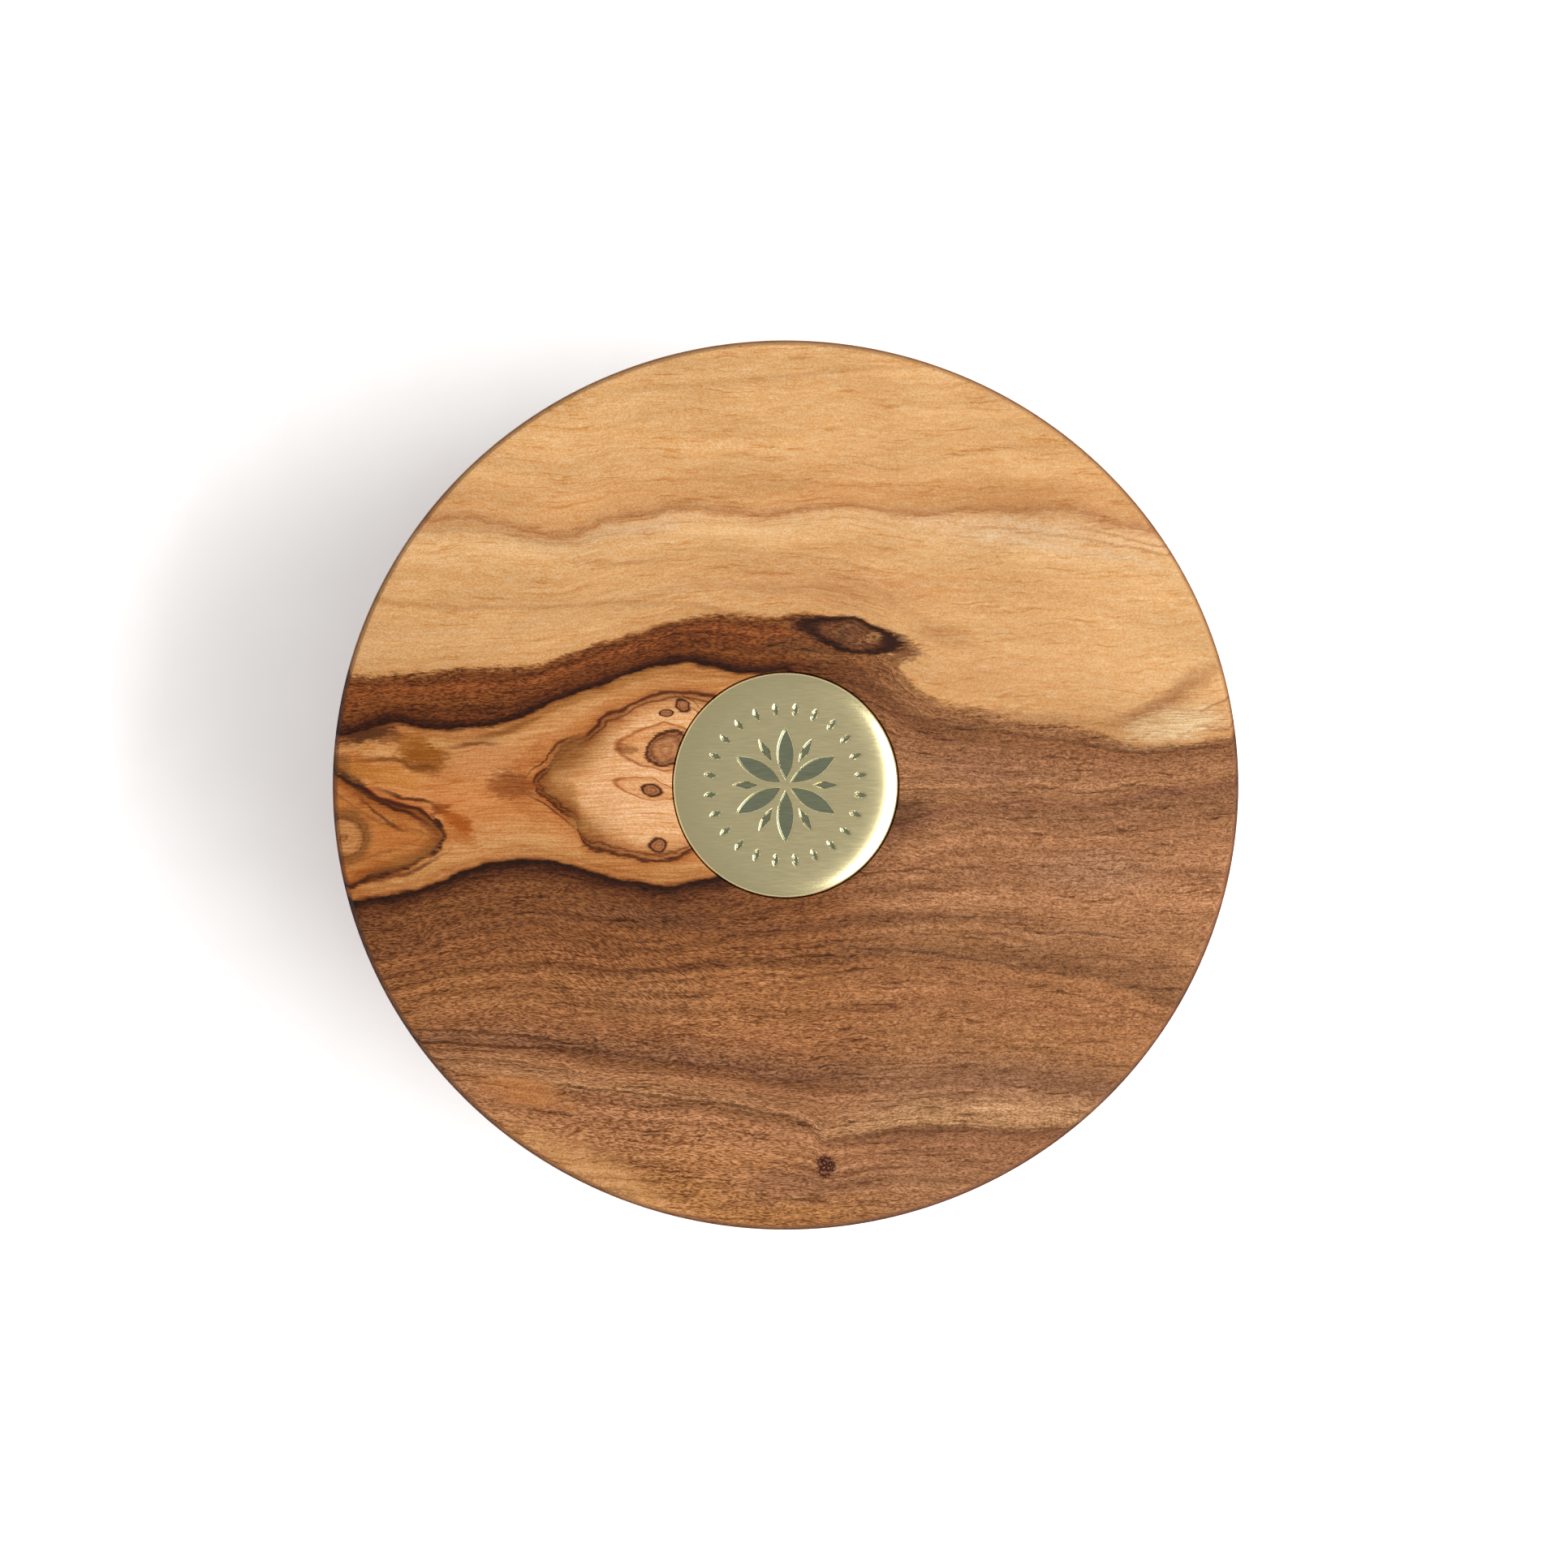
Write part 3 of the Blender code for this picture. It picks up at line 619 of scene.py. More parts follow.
def oval_place(tree, bent, along, across, half_length, half_width, tilt=0.0):
    """A place in an oval's own radii, where the oval is a circle of radius 1."""
    turn = math.radians(tilt)
    lengthwise = Vector((math.cos(turn), math.sin(turn), 0)) / half_length
    crosswise = Vector((-math.sin(turn), math.cos(turn), 0)) / half_width
    parts = [
        add_node(tree, "VectorMath", bent, axis, operation="DOT_PRODUCT", out="Value")
        for axis in (lengthwise, crosswise)
    ]
    centre = Vector((along, across, 0))
    middle = (centre.dot(lengthwise), centre.dot(crosswise), 0)
    place = add_node(tree, "CombineXYZ", *parts)
    return add_node(tree, "VectorMath", place, middle, operation="SUBTRACT")


def oval(tree, bent, *shape):
    """Distance from an oval's centre, in its own radii."""
    local = oval_place(tree, bent, *shape)
    return add_node(tree, "VectorMath", local, operation="LENGTH", out="Value")


def pointed(tree, bent, *shape):
    """Like an oval's distance, for a shape with a point at each end."""
    parts = add_node(tree, "SeparateXYZ", oval_place(tree, bent, *shape)).node.outputs
    lengthwise = add_node(tree, "Math", parts["X"], operation="ABSOLUTE")
    return add_node(tree, "Math", parts["Y"], parts["Y"], lengthwise, operation="MULTIPLY_ADD")


def bend(tree, place, lengths, amounts):
    """Places, moved a few tenths of a millimetre by noise, as grain wanders."""
    shift = grain_noise(tree, place, lengths, out="Color")
    shift = add_node(tree, "VectorMath", shift, (0.5, 0.5, 0.5), operation="SUBTRACT")
    return add_node(tree, "VectorMath", shift, amounts, place, operation="MULTIPLY_ADD")


def board_layers(tree, along, across):
    """The layer, in mm of even wood, at a place of the figured board. Also the lines by level."""
    lines = [(level, growth_line(tree, along, places)) for level, places in LAYER_LINES]
    stack = [(-BOARD, -BOARD), *lines, (BOARD, BOARD)]
    layer = -BOARD
    for (low_level, low), (high_level, high) in zip(stack, stack[1:]):
        step = add_node(tree, "MapRange", across, low, high, 0.0, high_level - low_level)
        layer = add_node(tree, "Math", layer, step, operation="ADD")
    return layer, dict(lines)


def layer_colour(tree, layer, along):
    """Sapwood and heartwood by layer: golden outside, brown inside, with a dark line here and there."""
    sap = colour_at(
        tree, layer,
        (12.5, "#C98C52"), (13.0, "#E3AA6F"), (16, "#EAB378"), (20, "#EBB377"), (24, "#EBB377"),
        (27, "#F3BF84"), (29.0, "#F0BC84"), (29.6, "#E0A872"), (29.9, "#CC8E58"), (30.0, "#BC7C48"),
        (30.14, "#CC925E"), (30.6, "#DCA068"), (31.2, "#E4A86C"), (33, "#E9AE71"), (36, "#F0B87B"),
        (40, "#EFB779"), (46, "#F1BA7D"), (51, "#EFB77A"),
    )
    left_heart = colour_at(
        tree, layer,
        (-51, "#B27742"), (-46, "#B47845"), (-42, "#B67A4C"), (-39, "#B87C52"), (-37.7, "#94603A"),
        (-37.2, "#B07A50"), (-34.5, "#AE764C"), (-32, "#A86E46"), (-31.2, "#88542E"), (-30.2, "#926040"),
        (-29.2, "#98643F"), (-28, "#A86C42"), (-25, "#AC7042"), (-20.8, "#A86C3E"), (-20.1, "#84502A"),
        (-19.2, "#9A6036"), (-17, "#965C32"), (-13, "#7C4925"), (-10.6, "#70401E"), (8.1, "#6C3A18"),
        (9.4, "#84491E"), (11.2, "#8C4A20"), (12.0, "#7A411A"), (12.5, "#92582C"),
    )
    right_heart = colour_at(
        tree, layer,
        (-51, "#A87048"), (-44, "#AC764E"), (-39.5, "#A66E48"), (-37.8, "#845434"), (-37.1, "#BE8A5C"),
        (-35, "#C28E62"), (-33, "#B68058"), (-31.9, "#996846"), (-30.8, "#A06E4A"), (-29.6, "#A6724C"),
        (-27.5, "#AC7346"), (-24, "#AC7146"), (-20.5, "#A76E43"), (-20.05, "#8A5A36"), (-19.6, "#A67046"),
        (-15, "#B67C52"), (-12.5, "#B47A50"), (-11.2, "#9E6A44"), (-10.2, "#966040"), (-8.6, "#A87248"),
        (-4, "#B27A50"), (3, "#A66E46"), (6.8, "#935D37"), (7.8, "#784A2A"), (8.5, "#93603A"),
        (10.5, "#A06A42"), (12.4, "#AA7446"),
    )
    # The heartwood is lighter to the right of the medallion.
    to_right = add_node(tree, "MapRange", along, 2.0, 15.0, interpolation_type="SMOOTHSTEP")
    heart = add_node(tree, "Mix", to_right, left_heart, right_heart, **PAINT)
    is_sap = add_node(tree, "MapRange", layer, 12.35, 12.75)
    return add_node(tree, "Mix", is_sap, heart, sap, **PAINT), is_sap


def add_streaks(tree, colour, along, across, streaks):
    """Soft lines, fading in and out along the grain."""
    for half_width, strength, tint, start, end, places in streaks:
        line = growth_line(tree, along, places)
        off = add_node(tree, "Math", across, line, operation="SUBTRACT")
        off = add_node(tree, "Math", off, operation="ABSOLUTE")
        amount = add_node(tree, "MapRange", off, 0.3 * half_width, half_width, strength, 0.0)
        fade = min(STREAK_FADE, (end - start) / 3)
        for edge, inner in ((start, start + fade), (end, end - fade)):
            part = add_node(tree, "MapRange", along, edge, inner)
            amount = add_node(tree, "Math", amount, part, operation="MULTIPLY")
        colour = add_node(tree, "Mix", amount, colour, linear(tint), **PAINT)
    return colour


def add_patches(tree, colour, bent, patches, feather=0.0, inside=0.2):
    """Soft patches of another colour, with fibres that reach over their edges."""
    for along, across, half_length, half_width, tilt, strength, tint in patches:
        distance = oval(tree, bent, along, across, half_length, half_width, tilt)
        distance = add_node(tree, "Math", feather, 1.5, distance, operation="MULTIPLY_ADD")
        amount = add_node(
            tree, "MapRange", distance, 1.0, inside, 0.0, strength, interpolation_type="SMOOTHSTEP"
        )
        colour = add_node(tree, "Mix", amount, colour, linear(tint), **PAINT)
    return colour


def add_limb(tree, colour, limb, along):
    """The limb at the tongue's root: olive just inside its ring, then paler than the tongue."""
    near_tip = add_node(tree, "MapRange", along, -17.5, -22.5)
    tip_inside = colour_at(
        tree, limb,
        (-0.3, "#CC8E50"), (0.3, "#A86A32"), (1.4, "#B0743C"), (3.0, "#C4884E"), (4.6, "#E8A86E"),
        (7, "#FABE88"),
    )
    side_inside = colour_at(
        tree, limb,
        (-0.3, "#DA9C62"), (0.8, "#E4A66C"), (3.0, "#F9BD84"), (8, "#FBC08A"),
    )
    inside = add_node(tree, "Mix", near_tip, side_inside, tip_inside, **PAINT)
    is_inside = add_node(tree, "MapRange", limb, -0.2, 0.2)
    colour = add_node(tree, "Mix", is_inside, colour, inside, **PAINT)
    # Rings are given as what they leave of the colour below.
    rings = colour_at(
        tree, limb,
        (-2.2, "#FFFFFF"), (-0.9, "#F2E6D8"), (-0.3, "#D8C0A8"), (-0.17, "#967662"), (0, "#664A3C"),
        (0.15, "#866854"), (0.32, "#CDB69E"), (0.5, "#D2BCA4"), (0.64, "#96765E"), (0.74, "#9E7E66"),
        (0.9, "#DCC8B2"), (1.6, "#F2E6D8"), (2.6, "#FFFFFF"),
    )
    return add_node(tree, "Mix", 1.0, colour, rings, **TINT)


def add_edge_limb(tree, colour, limb):
    """The small limb that the turner cut through at the lid's edge, with its rings."""
    inside = colour_at(
        tree, limb,
        (-0.4, "#CC8844"), (0.3, "#B67234"), (1.3, "#C87E3E"), (2.1, "#CA8040"), (2.45, "#A4632C"),
        (2.7, "#C87A38"), (4.2, "#D08040"), (7, "#D28646"),
    )
    is_inside = add_node(tree, "MapRange", limb, -0.3, 0.3)
    colour = add_node(tree, "Mix", is_inside, colour, inside, **PAINT)
    rings = colour_at(
        tree, limb,
        (-1.2, "#FFFFFF"), (-0.4, "#E6D2BC"), (-0.2, "#967460"), (0, "#54382C"), (0.2, "#7C5C4A"),
        (0.45, "#D2BAA2"), (1.2, "#EAD8C4"), (2.2, "#FFFFFF"),
    )
    return add_node(tree, "Mix", 1.0, colour, rings, **TINT)


def add_tongue(tree, colour, lines, along, across, bent, feather):
    """Lays the pale tongue over the heartwood, with its dark outline, its two limbs and their knots."""
    # It ends under the medallion.
    nose = add_node(tree, "MapRange", along, 0.0, 12.0, 0.0, 14.0)
    low, high = (lines[level] for level in TONGUE_LEVELS)
    tongue = between(tree, across, high, low)
    tongue = add_node(tree, "Math", tongue, nose, operation="SUBTRACT")
    limb = between(tree, across, *(growth_line(tree, along, line) for line in LIMB_RINGS))
    # The larger limb's ring is frayed most at its tip.
    fray = add_node(tree, "MapRange", along, -26.0, -20.0, 0.9, 0.25)
    limb = add_node(tree, "Math", feather, fray, limb, operation="MULTIPLY_ADD")
    edge_limb = between(tree, across, *(growth_line(tree, along, line) for line in EDGE_RINGS))
    edge_limb = add_node(tree, "Math", feather, 0.4, edge_limb, operation="MULTIPLY_ADD")
    # The heartwood darkens towards the tongue, and is darkest where they meet.
    outline = colour_at(
        tree, tongue,
        (-2.6, "#FFFFFF"), (-1.6, "#EBE0D8"), (-1.0, "#CDBBAE"), (-0.6, "#A08C7E"), (-0.3, "#7A6456"),
        (0, "#705644"),
    )
    colour = add_node(tree, "Mix", 1.0, colour, outline, **TINT)
    pale = colour_at(
        tree, tongue,
        (0, "#4A2208"), (0.12, "#7A441A"), (0.30, "#AE6C34"), (0.6, "#CA864A"), (0.95, "#BE7A40"),
        (1.3, "#D09052"), (2.2, "#DC9C5E"), (4.0, "#D89052"), (6.0, "#DA8E4E"), (8, "#DE9050"),
    )
    pale = add_limb(tree, pale, limb, along)
    pale = add_edge_limb(tree, pale, edge_limb)
    pale = add_patches(tree, pale, bent, TONGUE_PATCHES, feather, 0.45)
    pale = add_streaks(tree, pale, along, across, TONGUE_STREAKS)
    pale = add_knots(tree, pale, bent, feather)
    is_tongue = add_node(tree, "MapRange", tongue, -0.06, 0.06)
    return add_node(tree, "Mix", is_tongue, colour, pale, **PAINT), is_tongue


def add_knots(tree, colour, bent, feather):
    """Small round knots, two of them in pointed fields of their own, with dark rings."""
    for shape in KNOT_FIELDS:
        field = pointed(tree, bent, *shape)
        ring = colour_at(
            tree, field,
            (0.3, "#F8EEE2"), (0.88, "#EFDDC8"), (0.95, "#C6A287"), (1.0, "#BC957A"), (1.05, "#D8BFA8"),
            (1.12, "#FFFFFF"),
        )
        colour = add_node(tree, "Mix", 1.0, colour, ring, **TINT)
    rings = (
        (PIN_KNOTS, (
            (0, "#A0623A"), (0.3, "#BC7A4C"), (0.5, "#90542C"), (0.62, "#B8764A"), (0.76, "#9C5C30"),
            (0.86, "#54290F"), (1.0, "#46200C"), (1.14, "#8A542C"), (1.35, "#C88C56"),
        )),
        (LIMB_KNOTS, (
            (0, "#D0925E"), (0.3, "#B4744A"), (0.42, "#CC8E5A"), (0.6, "#AE7044"), (0.72, "#7C462A"),
            (0.80, "#B47848"), (0.88, "#623418"), (0.96, "#542912"), (1.04, "#9A6238"), (1.12, "#CC9058"),
        )),
    )
    for knots, stops in rings:
        nearest = 9.0
        for shape in knots:
            nearest = add_node(tree, "Math", nearest, oval(tree, bent, *shape), operation="MINIMUM")
        nearest = add_node(tree, "Math", feather, 0.5, nearest, operation="MULTIPLY_ADD")
        knot = colour_at(tree, nearest, *stops)
        amount = add_node(tree, "MapRange", nearest, stops[-1][0], 1.02)
        colour = add_node(tree, "Mix", amount, colour, knot, **PAINT)
    return add_edge_knot(tree, colour, bent, feather)


def add_edge_knot(tree, colour, bent, feather):
    """The knot that is cut through at the lid's edge, with a broad soft ring."""
    edge_knot = oval(tree, bent, *EDGE_KNOT)
    edge_knot = add_node(tree, "Math", feather, 0.4, edge_knot, operation="MULTIPLY_ADD")
    ring = colour_at(
        tree, edge_knot,
        (0, "#B87440"), (0.12, "#9A5828"), (0.2, "#CC8C50"), (0.6, "#C8864A"), (0.78, "#A2662F"),
        (0.84, "#7A451C"), (0.9, "#9A602C"), (1.1, "#925826"), (1.25, "#A0642C"), (1.5, "#BC7434"),
    )
    amount = add_node(tree, "MapRange", edge_knot, 1.5, 1.05)
    return add_node(tree, "Mix", amount, colour, ring, **PAINT)


def add_eye(tree, colour, bent, feather):
    """A knot like a half-shut eye, where the tree grew over a dead twig."""
    eye = pointed(tree, bent, *EYE)
    eye = add_node(tree, "Math", feather, 0.45, eye, operation="MULTIPLY_ADD")
    rings = colour_at(
        tree, eye,
        (0, "#7C4A2C"), (0.16, "#6C3E22"), (0.26, "#905E38"), (0.36, "#60361A"), (0.52, "#784626"),
        (0.66, "#522A14"), (0.78, "#301508"), (0.9, "#38190A"), (1.02, "#5A3016"), (1.2, "#84532F"),
    )
    is_eye = add_node(tree, "MapRange", eye, 1.25, 0.95)
    colour = add_node(tree, "Mix", is_eye, colour, rings, **PAINT)
    return add_patches(tree, colour, bent, EYE_PATCHES, feather)


def add_bark_pin(tree, colour, bent):
    """A cluster of bark pins: a few rings of half a millimetre in a dark spot."""
    spot = oval(tree, bent, *BARK_PIN)
    scaled = add_node(tree, "VectorMath", bent, (1.5, 1.4, 1.0), operation="MULTIPLY")
    cell = add_node(
        tree, "TexVoronoi", scaled, 1.0, voronoi_dimensions="2D", named={"Randomness": 0.5}
    )
    rings = colour_at(
        tree, cell,
        (0, "#9A6038"), (0.14, "#8E5430"), (0.24, "#40190A"), (0.40, "#34140A"), (0.50, "#74402A"),
        (0.75, "#8A5232"),
    )
    amount = add_node(tree, "MapRange", spot, 1.2, 0.9)
    return add_node(tree, "Mix", amount, colour, rings, **PAINT)


def shade(tree, colour, is_pale, share, heart, sap):
    """Darkens and lightens a colour between two tones, with other tones in heartwood than in pale wood."""
    heart_tone, sap_tone = (
        add_node(tree, "Mix", share, (*dark, 1), (*light, 1), **PAINT) for dark, light in (heart, sap)
    )
    tone = add_node(tree, "Mix", is_pale, heart_tone, sap_tone, **PAINT)
    return add_node(tree, "Mix", 1.0, colour, tone, **TINT)


def darken(tree, colour, is_pale, amount, heart, sap):
    """Darkens a colour by an amount towards one tone, another in heartwood than in pale wood."""
    tone = add_node(tree, "Mix", is_pale, (*heart, 1), (*sap, 1), **PAINT)
    return add_node(tree, "Mix", amount, colour, tone, **TINT)


def fibre_strokes(tree, is_pale, flow, smooth, reach, curl):
    """Strokes of fibre: even grain of a tenth of a millimetre, and strokes half a millimetre long."""
    even = grain_noise(tree, flow, (0.26, 0.12, 0.12), 1.5)
    drawn = grain_noise(tree, flow, (0.60, 0.10, 0.10))
    # Curly grain: there the strokes run down to the right.
    turned = add_node(tree, "Mapping", smooth, None, (0, 0, math.radians(23)), vector_type="POINT")
    curly = grain_noise(tree, turned, (0.55, 0.11, 0.11))
    drawn = add_node(tree, "Mix", curl, drawn, curly, data_type="FLOAT")
    is_even = add_node(tree, "MapRange", reach, 0.75, 1.0, 0.7, 0.0)
    is_even = add_node(tree, "Math", is_even, is_pale, operation="MAXIMUM")
    return add_node(tree, "Mix", is_even, drawn, even, data_type="FLOAT")


def add_fibre(tree, colour, is_pale, flow, smooth, reach, curl=0.0):
    """Strokes of fibre and open pores. Returns the colour, and the strokes as a height."""
    strokes = fibre_strokes(tree, is_pale, flow, smooth, reach, curl)
    least = add_node(tree, "Math", reach, -0.5, 0.5, operation="MULTIPLY_ADD")
    most = add_node(tree, "Math", reach, 0.5, 0.5, operation="MULTIPLY_ADD")
    share = add_node(tree, "MapRange", strokes, 0.40, 0.60, least, most)
    heart = ((0.52, 0.42, 0.28), (1.48, 1.60, 1.76))
    sap = ((0.91, 0.82, 0.67), (1.06, 1.14, 1.28))
    colour = shade(tree, colour, is_pale, share, heart, sap)
    # Bundles of fibres a quarter of a millimetre wide, and long thin streaks of them, with their depth
    # of tone in heartwood and in pale wood.
    bundles = (((2.0, 0.30, 0.30), 0.14, 0.09), ((11, 0.50, 0.50), 0.13, 0.06))
    for lengths, heart_depth, sap_depth in bundles:
        noise = grain_noise(tree, flow, lengths, 2.0, 0.6)
        share = add_node(tree, "MapRange", noise, 0.34, 0.66)
        heart, sap = (
            (
                (1 - red * depth, 1 - depth, 1 - blue * depth),
                (1 + red * depth, 1 + depth, 1 + blue * depth),
            )
            for depth, red, blue in ((heart_depth, 0.8, 1.4), (sap_depth, 0.4, 1.9))
        )
        colour = shade(tree, colour, is_pale, share, heart, sap)
    # Thin dark lines a few millimetres long, in groups.
    lines = grain_noise(tree, flow, (4.5, 0.24, 0.8), 2.0, 0.55)
    groups = grain_noise(tree, flow, (10, 1.4, 5))
    amount = add_node(tree, "MapRange", lines, 0.55, 0.63)
    group = add_node(tree, "MapRange", groups, 0.44, 0.58)
    amount = add_node(tree, "Math", amount, group, operation="MULTIPLY")
    colour = darken(tree, colour, is_pale, amount, (0.44, 0.36, 0.27), (0.83, 0.69, 0.53))
    return colour, strokes


def add_rings(tree, colour, is_pale, layer, along, depth):
    """Growth rings, which follow the layers for centimetres, and cloudy lights in the wood."""
    flow = add_node(tree, "CombineXYZ", along, layer, depth)
    rings = grain_noise(tree, flow, (60, 1.2, 40), 3.0, 0.66)
    share = add_node(tree, "MapRange", rings, *NOISE)
    heart = ((0.74, 0.70, 0.66), (1.22, 1.25, 1.27))
    sap = ((0.945, 0.93, 0.90), (1.05, 1.06, 1.075))
    colour = shade(tree, colour, is_pale, share, heart, sap)
    # Here and there a ring is a thin dark line.
    lines = grain_noise(tree, flow, (34, 0.7, 30), 2.0, 0.6)
    amount = add_node(tree, "MapRange", lines, 0.60, 0.72)
    colour = darken(tree, colour, is_pale, amount, (0.60, 0.51, 0.46), (0.94, 0.87, 0.76))
    clouds = grain_noise(tree, flow, (16, 4, 10), 2.0)
    light = add_node(tree, "MapRange", clouds, *NOISE)
    light = add_node(tree, "Mix", light, (0.91, 0.90, 0.89, 1), (1.09, 1.10, 1.11, 1), **PAINT)
    return add_node(tree, "Mix", 1.0, colour, light, **TINT)


def oiled_wood(tree, colour, strokes, settings):
    """Sanded and oiled wood is satin, and its open pores are duller."""
    dull, satin = settings.sheen + 0.1, settings.sheen - 0.05
    roughness = add_node(tree, "MapRange", strokes, *NOISE, dull, satin)
    bump = add_node(tree, "Bump", named={"Distance": settings.pore_depth, "Height": strokes})
    # Oil wets the pores and the fuzz between them, so the surface mirrors less than a flat one.
    finish = {"IOR": 1.47, "Specular IOR Level": 0.17}
    links = {"Base Color": colour, "Roughness": roughness, "Normal": bump}
    add_node(tree, "OutputMaterial", add_node(tree, "BsdfPrincipled", named={**links, **finish}))


def wood_place(tree, top):
    """Place in mm, with its height counted from the top of the board."""
    position = add_node(tree, "TexCoord", out="Object")
    scale = (1 / MM, 1 / MM, 1 / MM)
    return add_node(tree, "Mapping", position, (0, 0, -top / MM), None, scale, vector_type="POINT")


def plain_places(tree, is_sap, is_tongue, bent, feather):
    """Where the wood has as little figure as sapwood: there, in the tongue, and in the golden places."""
    pale = add_node(tree, "Math", is_sap, is_tongue, operation="MAXIMUM")
    for shape in GOLDEN:
        gold = oval(tree, bent, *shape)
        gold = add_node(tree, "Math", feather, 1.5, gold, operation="MULTIPLY_ADD")
        gold = add_node(tree, "MapRange", gold, 1.0, 0.5, 0.0, 0.7)
        pale = add_node(tree, "Math", pale, gold, operation="MAXIMUM")
    return pale


def add_lid_fibre(tree, colour, is_pale, layer, along, across, depth, smooth, bent):
    """The lid's fibre: on the left it bends with the layers, which squeeze together to the right."""
    to_right = add_node(tree, "MapRange", along, 0.0, 25.0, 0.5, 1.0)
    flow = add_node(tree, "Mix", to_right, layer, across, data_type="FLOAT")
    flow = add_node(tree, "CombineXYZ", along, flow, depth)
    reach = add_node(tree, "MapRange", along, -10.0, 16.0, 1.0, 0.84)
    curl = add_node(tree, "MapRange", oval(tree, bent, *CURL), 1.1, 0.6)
    return add_fibre(tree, colour, is_pale, flow, smooth, reach, curl)


def add_fine_lines(tree, colour, is_tongue, smooth, bent):
    """Thin lines side by side, in the tongue and in the pale fan at the right."""
    lines = grain_noise(tree, smooth, (5.0, 0.17, 1.0))
    lines = add_node(tree, "MapRange", lines, 0.36, 0.64)
    lines = add_node(tree, "Mix", lines, (0.90, 0.80, 0.70, 1), (1.07, 1.16, 1.26, 1), **PAINT)
    fan = add_node(tree, "MapRange", oval(tree, bent, *FAN), 1.1, 0.7)
    has_lines = add_node(tree, "Math", is_tongue, fan, operation="MAXIMUM")
    return add_node(tree, "Mix", has_lines, colour, lines, **TINT)


def add_oiled_edge_and_painted_shade(tree, colour, place):
    """End grain round the edge takes up more oil, and painted shade darkens it, most under the bevel."""
    height = add_node(tree, "SeparateXYZ", place, out="Z")
    # A darker band round the lid's edge: partly oiled end grain, partly painted shade under the bevel.
    oiled_end_grain_and_shade = colour_at(
        tree, height,
        (-1.8, "#F3E8DE"), (-1.35, "#B8A698"), (-0.8, "#B8A698"), (-0.5, "#F3E8DE"), (-0.3, "#F3E8DE"),
        (-0.05, "#FFFFFF"),
    )
    return add_node(tree, "Mix", 1.0, colour, oiled_end_grain_and_shade, **TINT)


def lid_wood(settings):
    """Olive wood, sanded and oiled: golden sapwood, brown heartwood, and a limb cut through."""
    material, tree = new_material("oiled_olive_wood_lid")
    place = wood_place(tree, LID_HIGH.z)
    smooth = bend(tree, place, *BROAD_BEND)
    bent = bend(tree, smooth, *FINE_BEND)
    parts = add_node(tree, "SeparateXYZ", bent).node.outputs
    along = parts["X"]
    across = add_node(tree, "Math", parts["Z"], LAYER_SLANT, parts["Y"], operation="MULTIPLY_ADD")
    layer, lines = board_layers(tree, along, across)
    # Single fibres reach over from one layer into the next.
    feather = grain_noise(tree, smooth, (1.1, 0.22, 0.22), 2.0, 0.6)
    feather = add_node(tree, "Math", feather, 0.5, operation="SUBTRACT")
    frayed = add_node(tree, "Math", feather, 1.5, layer, operation="MULTIPLY_ADD")
    across = add_node(tree, "Math", feather, 0.5, across, operation="MULTIPLY_ADD")
    colour, is_sap = layer_colour(tree, frayed, along)
    colour = add_streaks(tree, colour, along, across, STREAKS)
    colour = add_patches(tree, colour, bent, PATCHES, feather)
    colour = add_eye(tree, colour, bent, feather)
    colour = add_bark_pin(tree, colour, bent)
    colour, is_tongue = add_tongue(tree, colour, lines, along, across, bent, feather)
    ringed = add_rings(tree, colour, is_sap, layer, along, parts["Z"])
    colour = add_node(tree, "Mix", is_tongue, ringed, colour, **PAINT)
    is_pale = plain_places(tree, is_sap, is_tongue, bent, feather)
    colour, strokes = add_lid_fibre(
        tree, colour, is_pale, layer, along, across, parts["Z"], smooth, bent
    )
    colour = add_fine_lines(tree, colour, is_tongue, smooth, bent)
    colour = add_oiled_edge_and_painted_shade(tree, colour, place)
    oiled_wood(tree, colour, strokes, settings)
    return material


def bowl_wood(settings):
    """Olive wood from the same log, turned hollow, sanded and oiled."""
    material, tree = new_material("oiled_olive_wood_bowl")
    place = wood_place(tree, BOWL_HIGH.z)
    smooth = bend(tree, place, *BROAD_BEND)
    bent = bend(tree, smooth, *FINE_BEND)
    wander = grain_noise(tree, bent, (60, 45, 45), 2.0)
    parts = add_node(tree, "SeparateXYZ", bent).node.outputs
    sideways = add_node(tree, "Math", parts["Y"], PITH[0], operation="ADD")
    height = add_node(tree, "Math", parts["Z"], PITH[1], operation="ADD")
    radius = add_node(tree, "CombineXYZ", 0.0, sideways, height)
    radius = add_node(tree, "VectorMath", radius, operation="LENGTH", out="Value")
    layer = add_node(tree, "Math", wander, RING_WANDER, radius, operation="MULTIPLY_ADD")
    layer = add_node(tree, "Math", layer, RING_START, operation="SUBTRACT")
    colour, is_sap = layer_colour(tree, layer, parts["X"])
    colour = add_rings(tree, colour, is_sap, layer, parts["X"], parts["Z"])
    flow = add_node(tree, "CombineXYZ", parts["X"], layer, parts["Y"])
    colour, strokes = add_fibre(tree, colour, is_sap, flow, smooth, BOWL_REACH)
    oiled_wood(tree, colour, strokes, settings)
    return material


def metal(tree, colour, tones, roughness, strokes, depth):
    """A bare metal whose colour and roughness vary a little from one tool mark to the next."""
    tone = add_node(tree, "MapRange", strokes, *NOISE, *tones)
    colour = add_node(tree, "Mix", 1.0, linear(colour), tone, **TINT)
    rough = add_node(tree, "MapRange", strokes, *NOISE, roughness * 0.85, roughness * 1.15)
    bump = add_node(tree, "Bump", named={"Distance": depth, "Height": strokes})
    links = {"Base Color": colour, "Roughness": rough, "Normal": bump}
    shader = add_node(tree, "BsdfPrincipled", named={**links, "Metallic": 1.0})
    add_node(tree, "OutputMaterial", shader)


